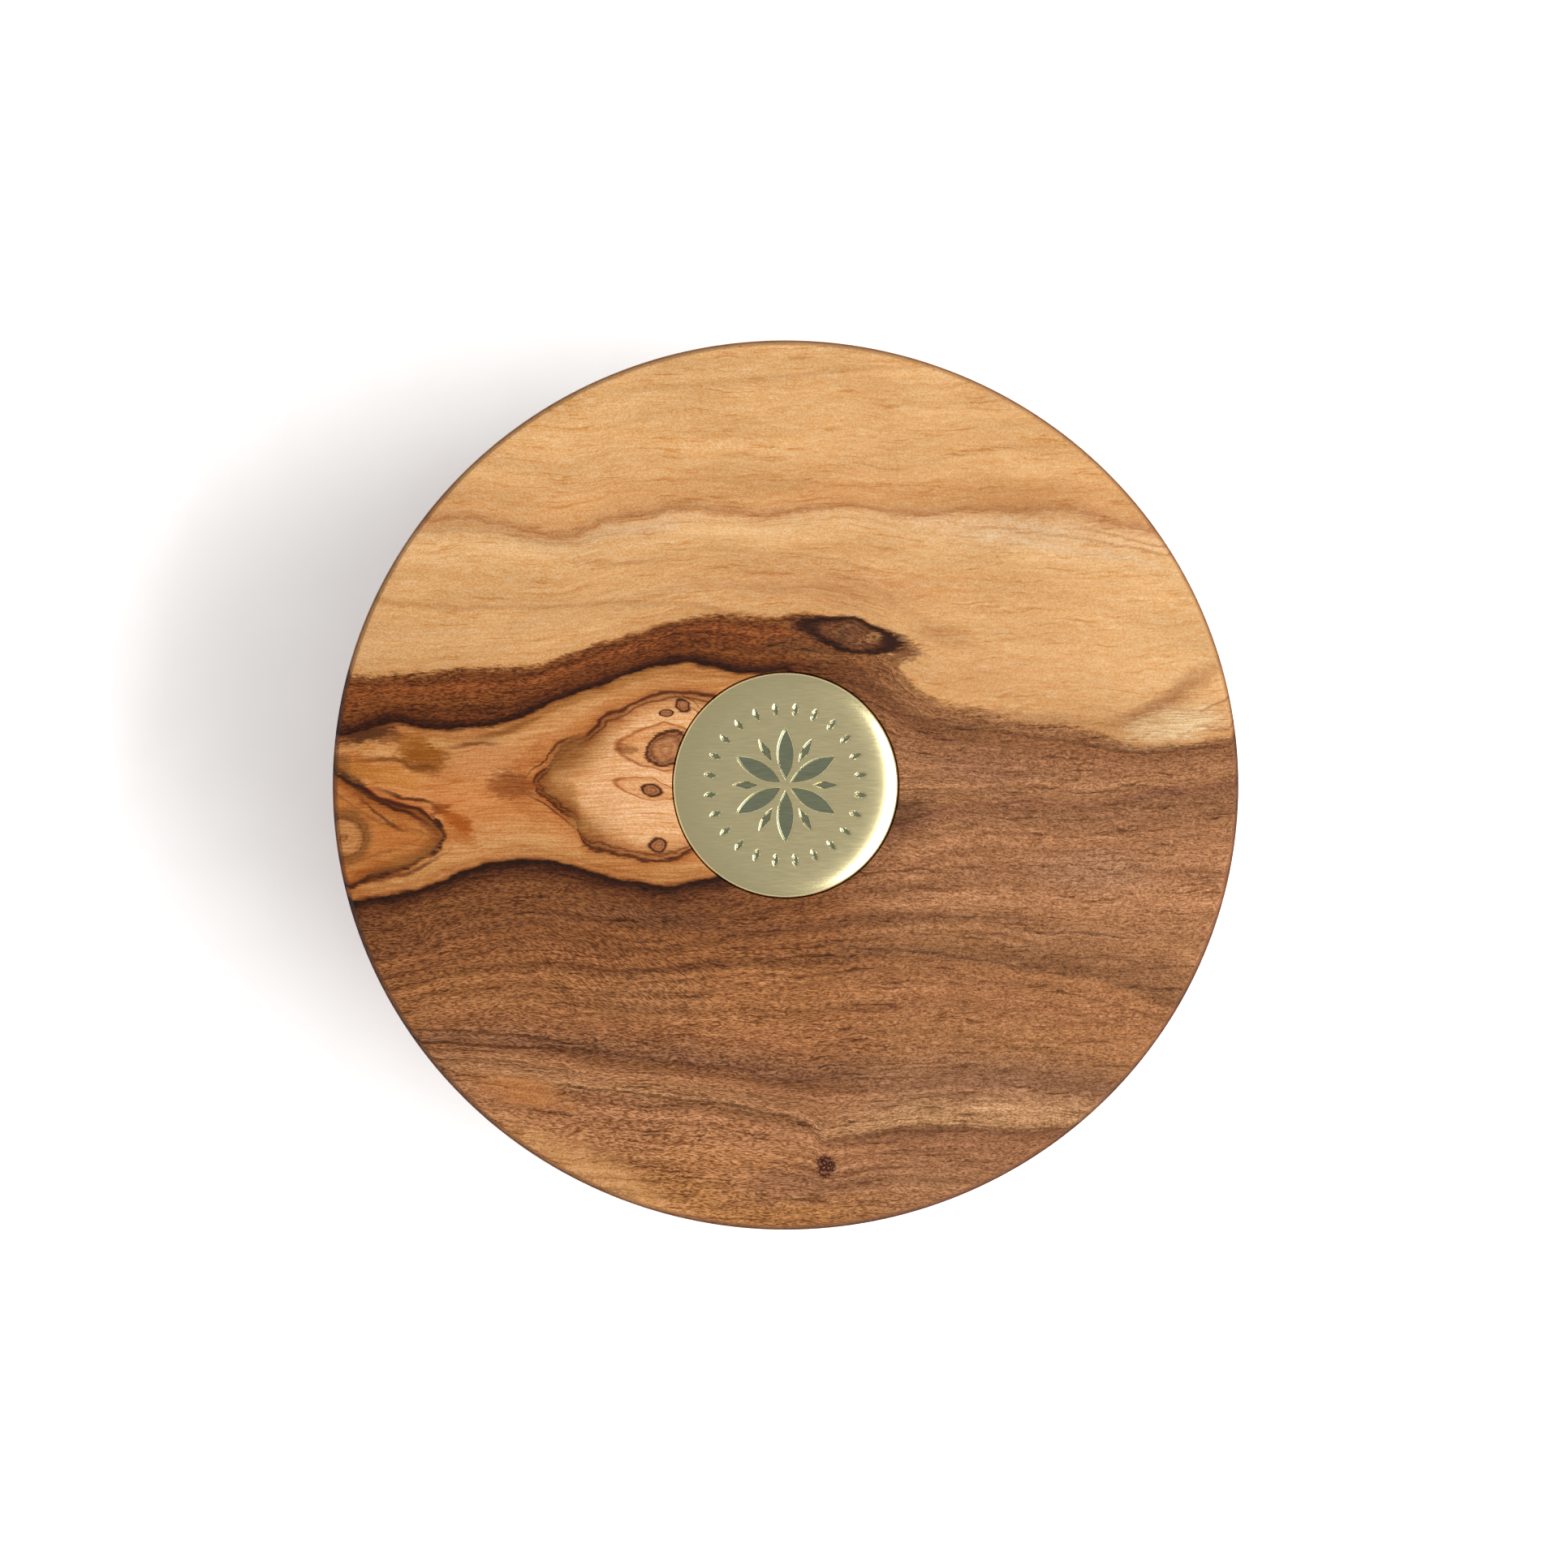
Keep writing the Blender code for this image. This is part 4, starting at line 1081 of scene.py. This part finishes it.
def brushed_brass(name, colour, tones):
    """Brass, struck and then brushed along the lid's grain with a fine belt."""
    material, tree = new_material(name)
    # A 240 grit belt leaves marks of 0.05 mm. They are drawn at 0.08 mm, so that they show.
    strokes = grain_noise(tree, wood_place(tree, 0), (1.8, 0.08, 0.3), 2.0, 0.6)
    metal(tree, colour, tones, 0.22, strokes, 0.001 * MM)
    return material


def turned_metal(name, centre, colour, roughness):
    """Metal faced on a lathe: fine rings round its axis, and rings down its side."""
    material, tree = new_material(name)
    place = wood_place(tree, 0)
    centre = (centre[0] / MM, centre[1] / MM, 0)
    local = add_node(tree, "VectorMath", place, centre, operation="SUBTRACT")
    parts = add_node(tree, "SeparateXYZ", local).node.outputs
    flat = add_node(tree, "CombineXYZ", parts["X"], parts["Y"], 0.0)
    radius = add_node(tree, "VectorMath", flat, operation="LENGTH", out="Value")
    rings = add_node(tree, "CombineXYZ", radius, parts["Z"], 0.0)
    # A feed of 0.1 mm a turn.
    strokes = grain_noise(tree, rings, (0.1, 0.1, 1))
    metal(tree, colour, (0.9, 1.1), roughness, strokes, 0.002 * MM)
    return material


def nickel_plate():
    """Nickel plated on a magnet: bright, with the faint orange peel of barrel plating."""
    material, tree = new_material("barrel_plated_nickel")
    peel = grain_noise(tree, wood_place(tree, 0), (0.35, 0.35, 0.35), 2.0)
    metal(tree, "#D3CFC6", (0.94, 1.06), 0.16, peel, 0.004 * MM)
    return material


def moulded_nylon():
    """Natural nylon, moulded: milky, with a soft sheen and a fine grain."""
    material, tree = new_material("moulded_natural_nylon")
    grain = grain_noise(tree, wood_place(tree, 0), (0.3, 0.3, 0.3), 2.0)
    light = add_node(tree, "MapRange", grain, *NOISE)
    colour = add_node(tree, "Mix", light, linear("#DDD7C2"), linear("#ECE7D6"), **PAINT)
    bump = add_node(tree, "Bump", named={"Distance": 0.004 * MM, "Height": grain})
    body = {"Roughness": 0.45, "IOR": 1.53, "Subsurface Weight": 0.3, "Subsurface Scale": 0.5 * MM}
    shader = add_node(tree, "BsdfPrincipled", named={"Base Color": colour, "Normal": bump, **body})
    add_node(tree, "OutputMaterial", shader)
    return material


def arc(centre, radius, start, end, steps):
    """Points of a round stretch of a profile, between two angles in degrees."""
    points = []
    for i in range(steps + 1):
        angle = math.radians(start + (end - start) * i / steps)
        points.append((centre[0] + radius * math.cos(angle), centre[1] + radius * math.sin(angle)))
    return points


def spun(bm, profile, segments, centre=(0, 0), squash=1.0):
    """Adds the surface that (radius, height) points sweep about an upright axis. Returns its rings."""
    rings = []
    for radius, height in profile:
        turns = [math.tau * i / segments for i in range(segments)] if radius else [0.0]
        ring = []
        for turn in turns:
            x = centre[0] + radius * math.cos(turn)
            y = centre[1] + radius * math.sin(turn) * squash
            ring.append(bm.verts.new((x, y, height)))
        rings.append(ring)
    for first, second in zip(rings, rings[1:]):
        for i in range(segments):
            j = (i + 1) % segments
            corners = [first[i % len(first)], first[j % len(first)]]
            corners += [second[j % len(second)], second[i % len(second)]]
            corners = list(dict.fromkeys(corners))
            if len(corners) > 2:
                bm.faces.new(corners)
    return rings


def flat_face(bm, *rings):
    """Fills the flat area between an outer ring and the rings inside it."""
    edges = []
    for ring in rings:
        for pair in zip(ring, ring[1:] + ring[:1]):
            edges.append(bm.edges.get(pair) or bm.edges.new(pair))
    bmesh.ops.triangle_fill(bm, edges=edges, use_beauty=True)


def new_piece(name, bm, materials, body, nodes):
    """An object that rides on a body and stands for CAD nodes, shaded smooth but for its corners."""
    bmesh.ops.recalc_face_normals(bm, faces=bm.faces)
    mesh = bpy.data.meshes.new(name)
    bm.to_mesh(mesh)
    bm.free()
    mesh.shade_smooth()
    mesh.set_sharp_from_angle(angle=math.radians(SHARP_CORNER))
    for material in materials:
        mesh.materials.append(material)
    obj = bpy.data.objects.new(name, mesh)
    bpy.context.scene.collection.objects.link(obj)
    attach(obj, body)
    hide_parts(*nodes)
    return obj


class KEEPER_OT_bowl(bpy.types.Operator):
    """Turns the bowl, hollows it, and drills its rim for the pin, the washer and the magnet"""

    bl_idname = "keeper.bowl"
    bl_label = "Bowl"
    bl_options = {"REGISTER", "UNDO"}

    def execute(self, context):
        settings = context.scene.keeper_wood
        hardware = context.scene.keeper_hardware
        bm = bmesh.new()
        top = BOWL_HIGH.z
        outside = spun(bm, self.outer_profile(settings), WOOD_STEPS, squash=CROSS_GRAIN_RATIO)
        inside = spun(bm, self.inner_profile(settings), WOOD_STEPS, squash=CROSS_GRAIN_RATIO)
        gap = settings.glue_line
        washer = (WASHER_HIGH.x + gap, WASHER_LOW.z - gap)
        seat = (hardware.pin_radius + hardware.knurl + gap, PIN_LOW.z - gap)
        pocket = [(washer[0], top), washer, (seat[0], washer[1]), seat, (0, seat[1])]
        pivot = spun(bm, pocket, HOLE_STEPS, PIVOT)
        catch = spun(bm, self.magnet_pocket(gap), HOLE_STEPS, CATCH)
        flat_face(bm, outside[-1], inside[0], pivot[0], catch[0])
        new_piece("oiled_bowl", bm, [bowl_wood(settings)], "base", ["bowl"])
        return {"FINISHED"}

    def outer_profile(self, settings):
        """From the middle of the foot out, up over the belly, and round the rim's outer edge."""
        widest = BOWL_HIGH.x
        foot = widest - settings.foot_inset
        ring = foot - settings.foot_ring
        points = [(0, settings.foot_hollow), (ring - settings.foot_hollow, settings.foot_hollow)]
        points += [(ring, 0.0), (foot - FOOT_EDGE, 0.0)]
        for i in range(1, BELLY_STEPS + 1):
            turn = math.radians(90) * i / BELLY_STEPS
            radius = foot + settings.foot_inset * math.sin(turn)
            points.append((radius, settings.belly * (1 - math.cos(turn))))
        shoulder = BOWL_HIGH.z - settings.rim_arris
        for i in range(1, WALL_STEPS):
            share = i / WALL_STEPS
            radius = widest - settings.rim_inset * share**2
            points.append((radius, settings.belly + (shoulder - settings.belly) * share))
        rim = widest - settings.rim_inset - settings.rim_arris
        return points + arc((rim, shoulder), settings.rim_arris, 0, 90, steps=8)

    def inner_profile(self, settings):
        """From the rim's inner edge down the wall and across the floor."""
        cavity = BOWL_HIGH.x - settings.rim_inset - settings.wall
        lip = (cavity + settings.lip, BOWL_HIGH.z - settings.lip)
        corner = (cavity - settings.fillet, settings.floor + settings.fillet)
        points = arc(lip, settings.lip, 90, 180, steps=8)
        points += arc(corner, settings.fillet, 0, -90, steps=24)
        return points + [(corner[0] / 2, settings.floor), (0, settings.floor)]

    def magnet_pocket(self, gap):
        """The blind hole for the magnet."""
        radius = BOWL_MAGNET_HIGH.x + gap
        base = BOWL_MAGNET_LOW.z - gap
        return [(radius, BOWL_HIGH.z), (radius, base), (0, base)]


class KEEPER_OT_lid(bpy.types.Operator):
    """Turns the lid, sinks the medallion's recess, and drills it for the bush and the magnet"""

    bl_idname = "keeper.lid"
    bl_label = "Lid"
    bl_options = {"REGISTER", "UNDO"}

    def execute(self, context):
        settings = context.scene.keeper_wood
        gap = settings.glue_line
        bm = bmesh.new()
        under = LID_LOW.z
        body = spun(bm, self.profile(settings), WOOD_STEPS)
        for corner in bm.verts:
            if corner.co.xy.length > MEDALLION_HIGH.x + ROUND_MARGIN:
                corner.co.y *= CROSS_GRAIN_RATIO
        bush = (BUSH_HIGH.x + gap, BUSH_HIGH.z + gap)
        seat = spun(bm, [(bush[0], under), bush, (0, bush[1])], HOLE_STEPS, PIVOT)
        magnet = (LID_MAGNET_HIGH.x + gap, LID_MAGNET_HIGH.z + gap)
        catch = spun(bm, [(magnet[0], under), magnet, (0, magnet[1])], HOLE_STEPS, CATCH)
        flat_face(bm, body[-1], seat[0], catch[0])
        new_piece("oiled_lid", bm, [lid_wood(settings)], "swing_lid", ["lid"])
        return {"FINISHED"}

    def profile(self, settings):
        """From the recess's floor up its wall, out over the top, down the bevel and round below."""
        top = LID_HIGH.z
        recess = MEDALLION_HIGH.x + settings.inlay_line
        floor = MEDALLION_LOW.z - settings.glue_line
        lip = 0.08 * MM
        points = [(0, floor), (recess, floor), (recess, top - lip)]
        points += arc((recess + lip, top - lip), lip, 180, 90, steps=3)
        round_off = 0.15 * MM
        slope = math.atan2(settings.bevel_height, settings.bevel)
        normal = 90 - math.degrees(slope)
        # Each corner of the bevel is rounded a little way along both of its sides.
        edge = LID_HIGH.x - settings.bevel - round_off * math.tan(slope / 2)
        shoulder = top - settings.bevel_height - round_off * math.tan(math.radians(normal / 2))
        # Narrow rings beside the recess and the bevel keep the shading of the flat top even.
        inner, outer = recess + 0.6 * MM, edge - 0.3 * MM
        points += [(inner, top), ((recess + edge) / 2, top), (outer, top)]
        points += arc((edge, top - round_off), round_off, 90, normal, steps=4)
        points += arc((LID_HIGH.x - round_off, shoulder), round_off, normal, 0, steps=4)
        lower = (LID_HIGH.x - settings.under_arris, LID_LOW.z + settings.under_arris)
        return points + arc(lower, settings.under_arris, 0, -90, steps=5)


class KEEPER_OT_medallion(bpy.types.Operator):
    """Strikes the brass medallion: a low crown with a rosette in a ring of grains"""

    bl_idname = "keeper.medallion"
    bl_label = "Medallion"
    bl_options = {"REGISTER", "UNDO"}

    def execute(self, context):
        settings = context.scene.keeper_medallion
        bm = bmesh.new()
        rim = MEDALLION_HIGH.x - settings.edge
        radii = [FACE_STEP * i for i in range(FACE_RINGS)]
        margin = rim - radii[-1]
        radii += [radii[-1] + margin * i / RIM_RINGS for i in range(1, RIM_RINGS + 1)]
        profile = [(radius, self.crown(settings, radius)) for radius in radii]
        side = self.crown(settings, rim) - settings.edge
        round_off = 0.06 * MM
        profile += arc((rim, side + settings.edge - round_off), round_off, 90, 45, steps=3)[1:]
        profile += arc((MEDALLION_HIGH.x - round_off, side), round_off, 45, 0, steps=3)
        profile += [(MEDALLION_HIGH.x, MEDALLION_LOW.z), (0, MEDALLION_LOW.z)]
        spun(bm, profile, MEDALLION_STEPS)
        for corner in bm.verts:
            if corner.co.z > side and corner.co.xy.length < rim:
                corner.co.z -= settings.relief * self.struck(settings, corner.co)
        # The struck floors keep their tarnish, because the belt doesn't reach them.
        for face in bm.faces:
            middle = face.calc_center_median()
            if middle.z > side and self.struck(settings, middle) > TARNISHED_SHARE:
                face.material_index = 1
        materials = [
            brushed_brass("brushed_brass", "#F0E1AC", (0.95, 1.05)),
            brushed_brass("tarnished_brass", "#9FA384", (0.85, 1.1)),
        ]
        new_piece("struck_medallion", bm, materials, "swing_lid", ["medallion"])
        return {"FINISHED"}

    def crown(self, settings, radius):
        """Height of the plain face at a radius."""
        rim = MEDALLION_HIGH.x - settings.edge
        return MEDALLION_HIGH.z - settings.crown * (radius / rim) ** settings.crown_power

    def struck(self, settings, place):
        """How deep the pattern is struck at a place, from 0 to 1."""
        radius = math.hypot(place[0], place[1])
        turn = math.atan2(place[1], place[0])
        counts = (settings.petals, settings.petals, settings.grains)
        depth = 0.0
        for count, mark in zip(counts, (LONG_PETAL, SHORT_PETAL, GRAIN)):
            start, reach, half_width, turned = mark
            step = math.tau / count
            local = (turn - turned * step + step / 2) % step - step / 2
            share = (radius * math.cos(local) - start) / reach
            if 0 < share < 1:
                edge = 4 * half_width * share * (1 - share) - abs(radius * math.sin(local))
                depth = max(depth, min(1.0, edge / settings.wall))
        return depth * depth * (3 - 2 * depth)


class KEEPER_OT_pivot(bpy.types.Operator):
    """Turns the swivel pin with its knurl, the brass bush round its head, and the nylon washer"""

    bl_idname = "keeper.pivot"
    bl_label = "Pivot"
    bl_options = {"REGISTER", "UNDO"}

    def execute(self, context):
        settings = context.scene.keeper_hardware
        self.pin(settings)
        self.bush(settings)
        self.washer(settings)
        return {"FINISHED"}

    def pin(self, settings):
        """The pin: a knurled foot, a plain shank and a slightly domed head."""
        bm = bmesh.new()
        radius = settings.pin_radius
        head = PIN_HIGH.x
        under_head = PIN_HIGH.z - settings.pin_head
        low, high = (PIN_LOW.z + height for height in KNURL_SPAN)
        foot = (radius - FOOT_ROUNDING, PIN_LOW.z + FOOT_ROUNDING)
        profile = [(0, PIN_LOW.z)] + arc(foot, FOOT_ROUNDING, -90, 0, steps=4)
        profile += [(radius, low), (radius, low + KNURL_SLOPE)]
        profile += [(radius, high - KNURL_SLOPE), (radius, high), (radius, under_head)]
        profile += [(head, under_head)]
        profile += arc((head - HEAD_ROUNDING, PIN_HIGH.z - HEAD_DROP), HEAD_ROUNDING, 0, 80, steps=4)
        profile += [(0, PIN_HIGH.z)]
        spun(bm, profile, PIN_STEPS, PIVOT)
        for corner in bm.verts:
            local = corner.co.xy - Vector(PIVOT)
            step = round(math.atan2(local.y, local.x) / math.tau * PIN_STEPS)
            in_knurl = low + KNURL_SLOPE / 2 < corner.co.z < high - KNURL_SLOPE / 2
            if in_knurl and step % STEPS_PER_RIB == 0:
                corner.co.xy = Vector(PIVOT) + local * (1 + settings.knurl / radius)
        steel = turned_metal("ground_stainless_steel", PIVOT, "#C9C7C2", 0.28)
        new_piece("knurled_pin", bm, [steel], "base", ["pivot_pin"])

    def bush(self, settings):
        """The bush: a bore below, and a chamber for the pin's head above."""
        bm = bmesh.new()
        edge = 0.15 * MM
        ledge = LID_LOW.z + settings.bearing
        profile = [(settings.bore + edge, BUSH_LOW.z), (BUSH_HIGH.x - edge, BUSH_LOW.z)]
        profile += [(BUSH_HIGH.x, BUSH_LOW.z + edge), (BUSH_HIGH.x, BUSH_HIGH.z)]
        profile += [(settings.chamber, BUSH_HIGH.z), (settings.chamber, ledge), (settings.bore, ledge)]
        profile += [(settings.bore, BUSH_LOW.z + edge)]
        self.ring(bm, profile)
        brass = turned_metal("turned_brass", PIVOT, "#E9CE8C", 0.26)
        new_piece("turned_bush", bm, [brass], "swing_lid", ["pivot_bush"])

    def washer(self, settings):
        """The washer that the lid turns on."""
        bm = bmesh.new()
        edge = 0.1 * MM
        profile = [(settings.bore, WASHER_LOW.z), (WASHER_HIGH.x, WASHER_LOW.z)]
        profile += [(WASHER_HIGH.x, WASHER_HIGH.z - edge), (WASHER_HIGH.x - edge, WASHER_HIGH.z)]
        profile += [(settings.bore + edge, WASHER_HIGH.z), (settings.bore, WASHER_HIGH.z - edge)]
        self.ring(bm, profile)
        new_piece("nylon_washer", bm, [moulded_nylon()], "base", ["pivot_washer"])

    def ring(self, bm, profile):
        """A closed ring about the pivot."""
        spun(bm, profile + profile[:1], RING_STEPS, PIVOT)
        bmesh.ops.remove_doubles(bm, verts=bm.verts, dist=SAME_PLACE)


class KEEPER_OT_catch(bpy.types.Operator):
    """Sets the two plated magnets that hold the lid shut"""

    bl_idname = "keeper.catch"
    bl_label = "Catch"
    bl_options = {"REGISTER", "UNDO"}

    def execute(self, context):
        edge = context.scene.keeper_hardware.edge
        nickel = nickel_plate()
        for name, node, body, low, high in (
            ("plated_bowl_magnet", "bowl_magnet", "base", BOWL_MAGNET_LOW, BOWL_MAGNET_HIGH),
            ("plated_lid_magnet", "lid_magnet", "swing_lid", LID_MAGNET_LOW, LID_MAGNET_HIGH),
        ):
            bm = bmesh.new()
            radius = high.x
            profile = [(0, low.z)] + arc((radius - edge, low.z + edge), edge, -90, 0, steps=5)
            profile += arc((radius - edge, high.z - edge), edge, 0, 90, steps=5) + [(0, high.z)]
            spun(bm, profile, RING_STEPS, CATCH)
            new_piece(name, bm, [nickel], body, [node])
        return {"FINISHED"}


class KEEPER_OT_stage(bpy.types.Operator):
    """Lays the white floor and sets the lights and the camera"""

    bl_idname = "keeper.stage"
    bl_label = "Stage"
    bl_options = {"REGISTER", "UNDO"}

    def execute(self, context):
        settings = context.scene.keeper_stage
        self.lay_floor()
        self.light_room(settings)
        self.hang_key(settings)
        self.place_camera(settings)
        return {"FINISHED"}

    def lay_floor(self):
        """White paper, which the camera sees overexposed, as in a catalogue picture."""
        material, tree = new_material("white_paper")
        place = wood_place(tree, 0)
        # The paper's tooth is drawn 6 mm wide, and barely shows.
        tooth = grain_noise(tree, place, (6, 6, 6), 3.0, 0.6)
        tooth = add_node(tree, "MapRange", tooth, *NOISE, 0.99, 1.01)
        # Painted shade round the keeper: the camera sees the paper brighter further out, so the shadow
        # fades.
        seen = add_node(tree, "LightPath", out="Is Camera Ray")
        away = add_node(tree, "VectorMath", place, operation="LENGTH", out="Value")
        white = add_node(tree, "MapRange", away, 50.0, 120.0, 1.93, 2.4)
        colour = add_node(tree, "Mix", seen, linear("#E6E6E4"), white, **PAINT)
        colour = add_node(tree, "Mix", 1.0, colour, tooth, **TINT)
        add_node(tree, "OutputMaterial", add_node(tree, "BsdfDiffuse", colour))
        bm = bmesh.new()
        bmesh.ops.create_grid(bm, x_segments=1, y_segments=1, size=PAPER_SIZE)
        mesh = bpy.data.meshes.new("paper_floor")
        bm.to_mesh(mesh)
        bm.free()
        mesh.materials.append(material)
        floor = bpy.data.objects.new("paper_floor", mesh)
        floor.location.z = -PAPER_DROP
        bpy.context.scene.collection.objects.link(floor)

    def light_room(self, settings):
        """Even light from all round. What is seen or mirrored is white walls and a grey ceiling."""
        world = bpy.data.worlds.new("studio")
        bpy.context.scene.world = world
        world.use_nodes = True
        tree = world.node_tree
        tree.nodes.clear()
        direction = add_node(tree, "TexCoord", out="Generated")
        up = add_node(tree, "SeparateXYZ", direction, out="Z")
        walls = (WALL_TOP, CEILING_EDGE, 1.0, settings.ceiling)
        seen = add_node(tree, "MapRange", up, *walls, interpolation_type="SMOOTHSTEP")
        rays = add_node(tree, "LightPath").node.outputs
        sharp = add_node(tree, "Math", rays["Is Camera Ray"], rays["Is Glossy Ray"], operation="MAXIMUM")
        sharp = add_node(tree, "Math", sharp, rays["Is Transmission Ray"], operation="MAXIMUM")
        strength = add_node(tree, "Mix", sharp, settings.room, seen, data_type="FLOAT")
        add_node(tree, "OutputWorld", add_node(tree, "Background", (1, 1, 1, 1), strength))

    def hang_key(self, settings):
        """A long soft box high at the right, a little towards the front."""
        light = bpy.data.lights.new("key", "AREA")
        light.shape = "RECTANGLE"
        light.size, light.size_y = KEY_SIZE
        light.energy = settings.key_power
        key = bpy.data.objects.new("key", light)
        top = Vector((0, 0, LID_HIGH.z))
        key.location = top + KEY_PLACE
        key.rotation_euler = (top - key.location).to_track_quat("-Z", "Y").to_euler()
        bpy.context.scene.collection.objects.link(key)

    def place_camera(self, settings):
        """A 100 mm lens that looks straight down on the lid."""
        camera = bpy.data.cameras.new("overhead")
        camera.lens = LENS
        camera.sensor_width = FILM_WIDTH
        obj = bpy.data.objects.new("overhead", camera)
        distance = settings.frame_width * camera.lens / camera.sensor_width
        obj.location = (*CAMERA_PLACE, LID_HIGH.z + distance)
        bpy.context.scene.collection.objects.link(obj)
        bpy.context.scene.camera = obj
        bpy.context.scene.view_settings.view_transform = "Standard"


class KEEPER_PT_panel(bpy.types.Panel):
    """Lists the keeper's pieces and their settings in the sidebar."""

    bl_idname = "KEEPER_PT_panel"
    bl_label = "Salt keeper"
    bl_space_type = "VIEW_3D"
    bl_region_type = "UI"
    bl_category = "Keeper"

    def draw(self, context):
        for operator in OPERATORS:
            self.layout.operator(operator.bl_idname)
        for name, group in SETTINGS.items():
            box = self.layout.box()
            for setting in group.__annotations__:
                box.prop(getattr(context.scene, name), setting)


SETTINGS = {
    "keeper_wood": WoodSettings,
    "keeper_medallion": MedallionSettings,
    "keeper_hardware": HardwareSettings,
    "keeper_stage": StageSettings,
}
OPERATORS = (
    KEEPER_OT_bowl,
    KEEPER_OT_lid,
    KEEPER_OT_medallion,
    KEEPER_OT_pivot,
    KEEPER_OT_catch,
    KEEPER_OT_stage,
)
CLASSES = (*SETTINGS.values(), *OPERATORS, KEEPER_PT_panel)


def register():
    """Makes the settings, the operators and the panel known to Blender."""
    for cls in CLASSES:
        bpy.utils.register_class(cls)
    for name, group in SETTINGS.items():
        setattr(bpy.types.Scene, name, bpy.props.PointerProperty(type=group))


def unregister():
    """Takes them out again."""
    for name in SETTINGS:
        delattr(bpy.types.Scene, name)
    for cls in reversed(CLASSES):
        bpy.utils.unregister_class(cls)


def main():
    """Makes each piece and the stage."""
    register()
    bpy.ops.keeper.bowl()
    bpy.ops.keeper.lid()
    bpy.ops.keeper.medallion()
    bpy.ops.keeper.pivot()
    bpy.ops.keeper.catch()
    bpy.ops.keeper.stage()


if __name__ == "__main__":
    main()
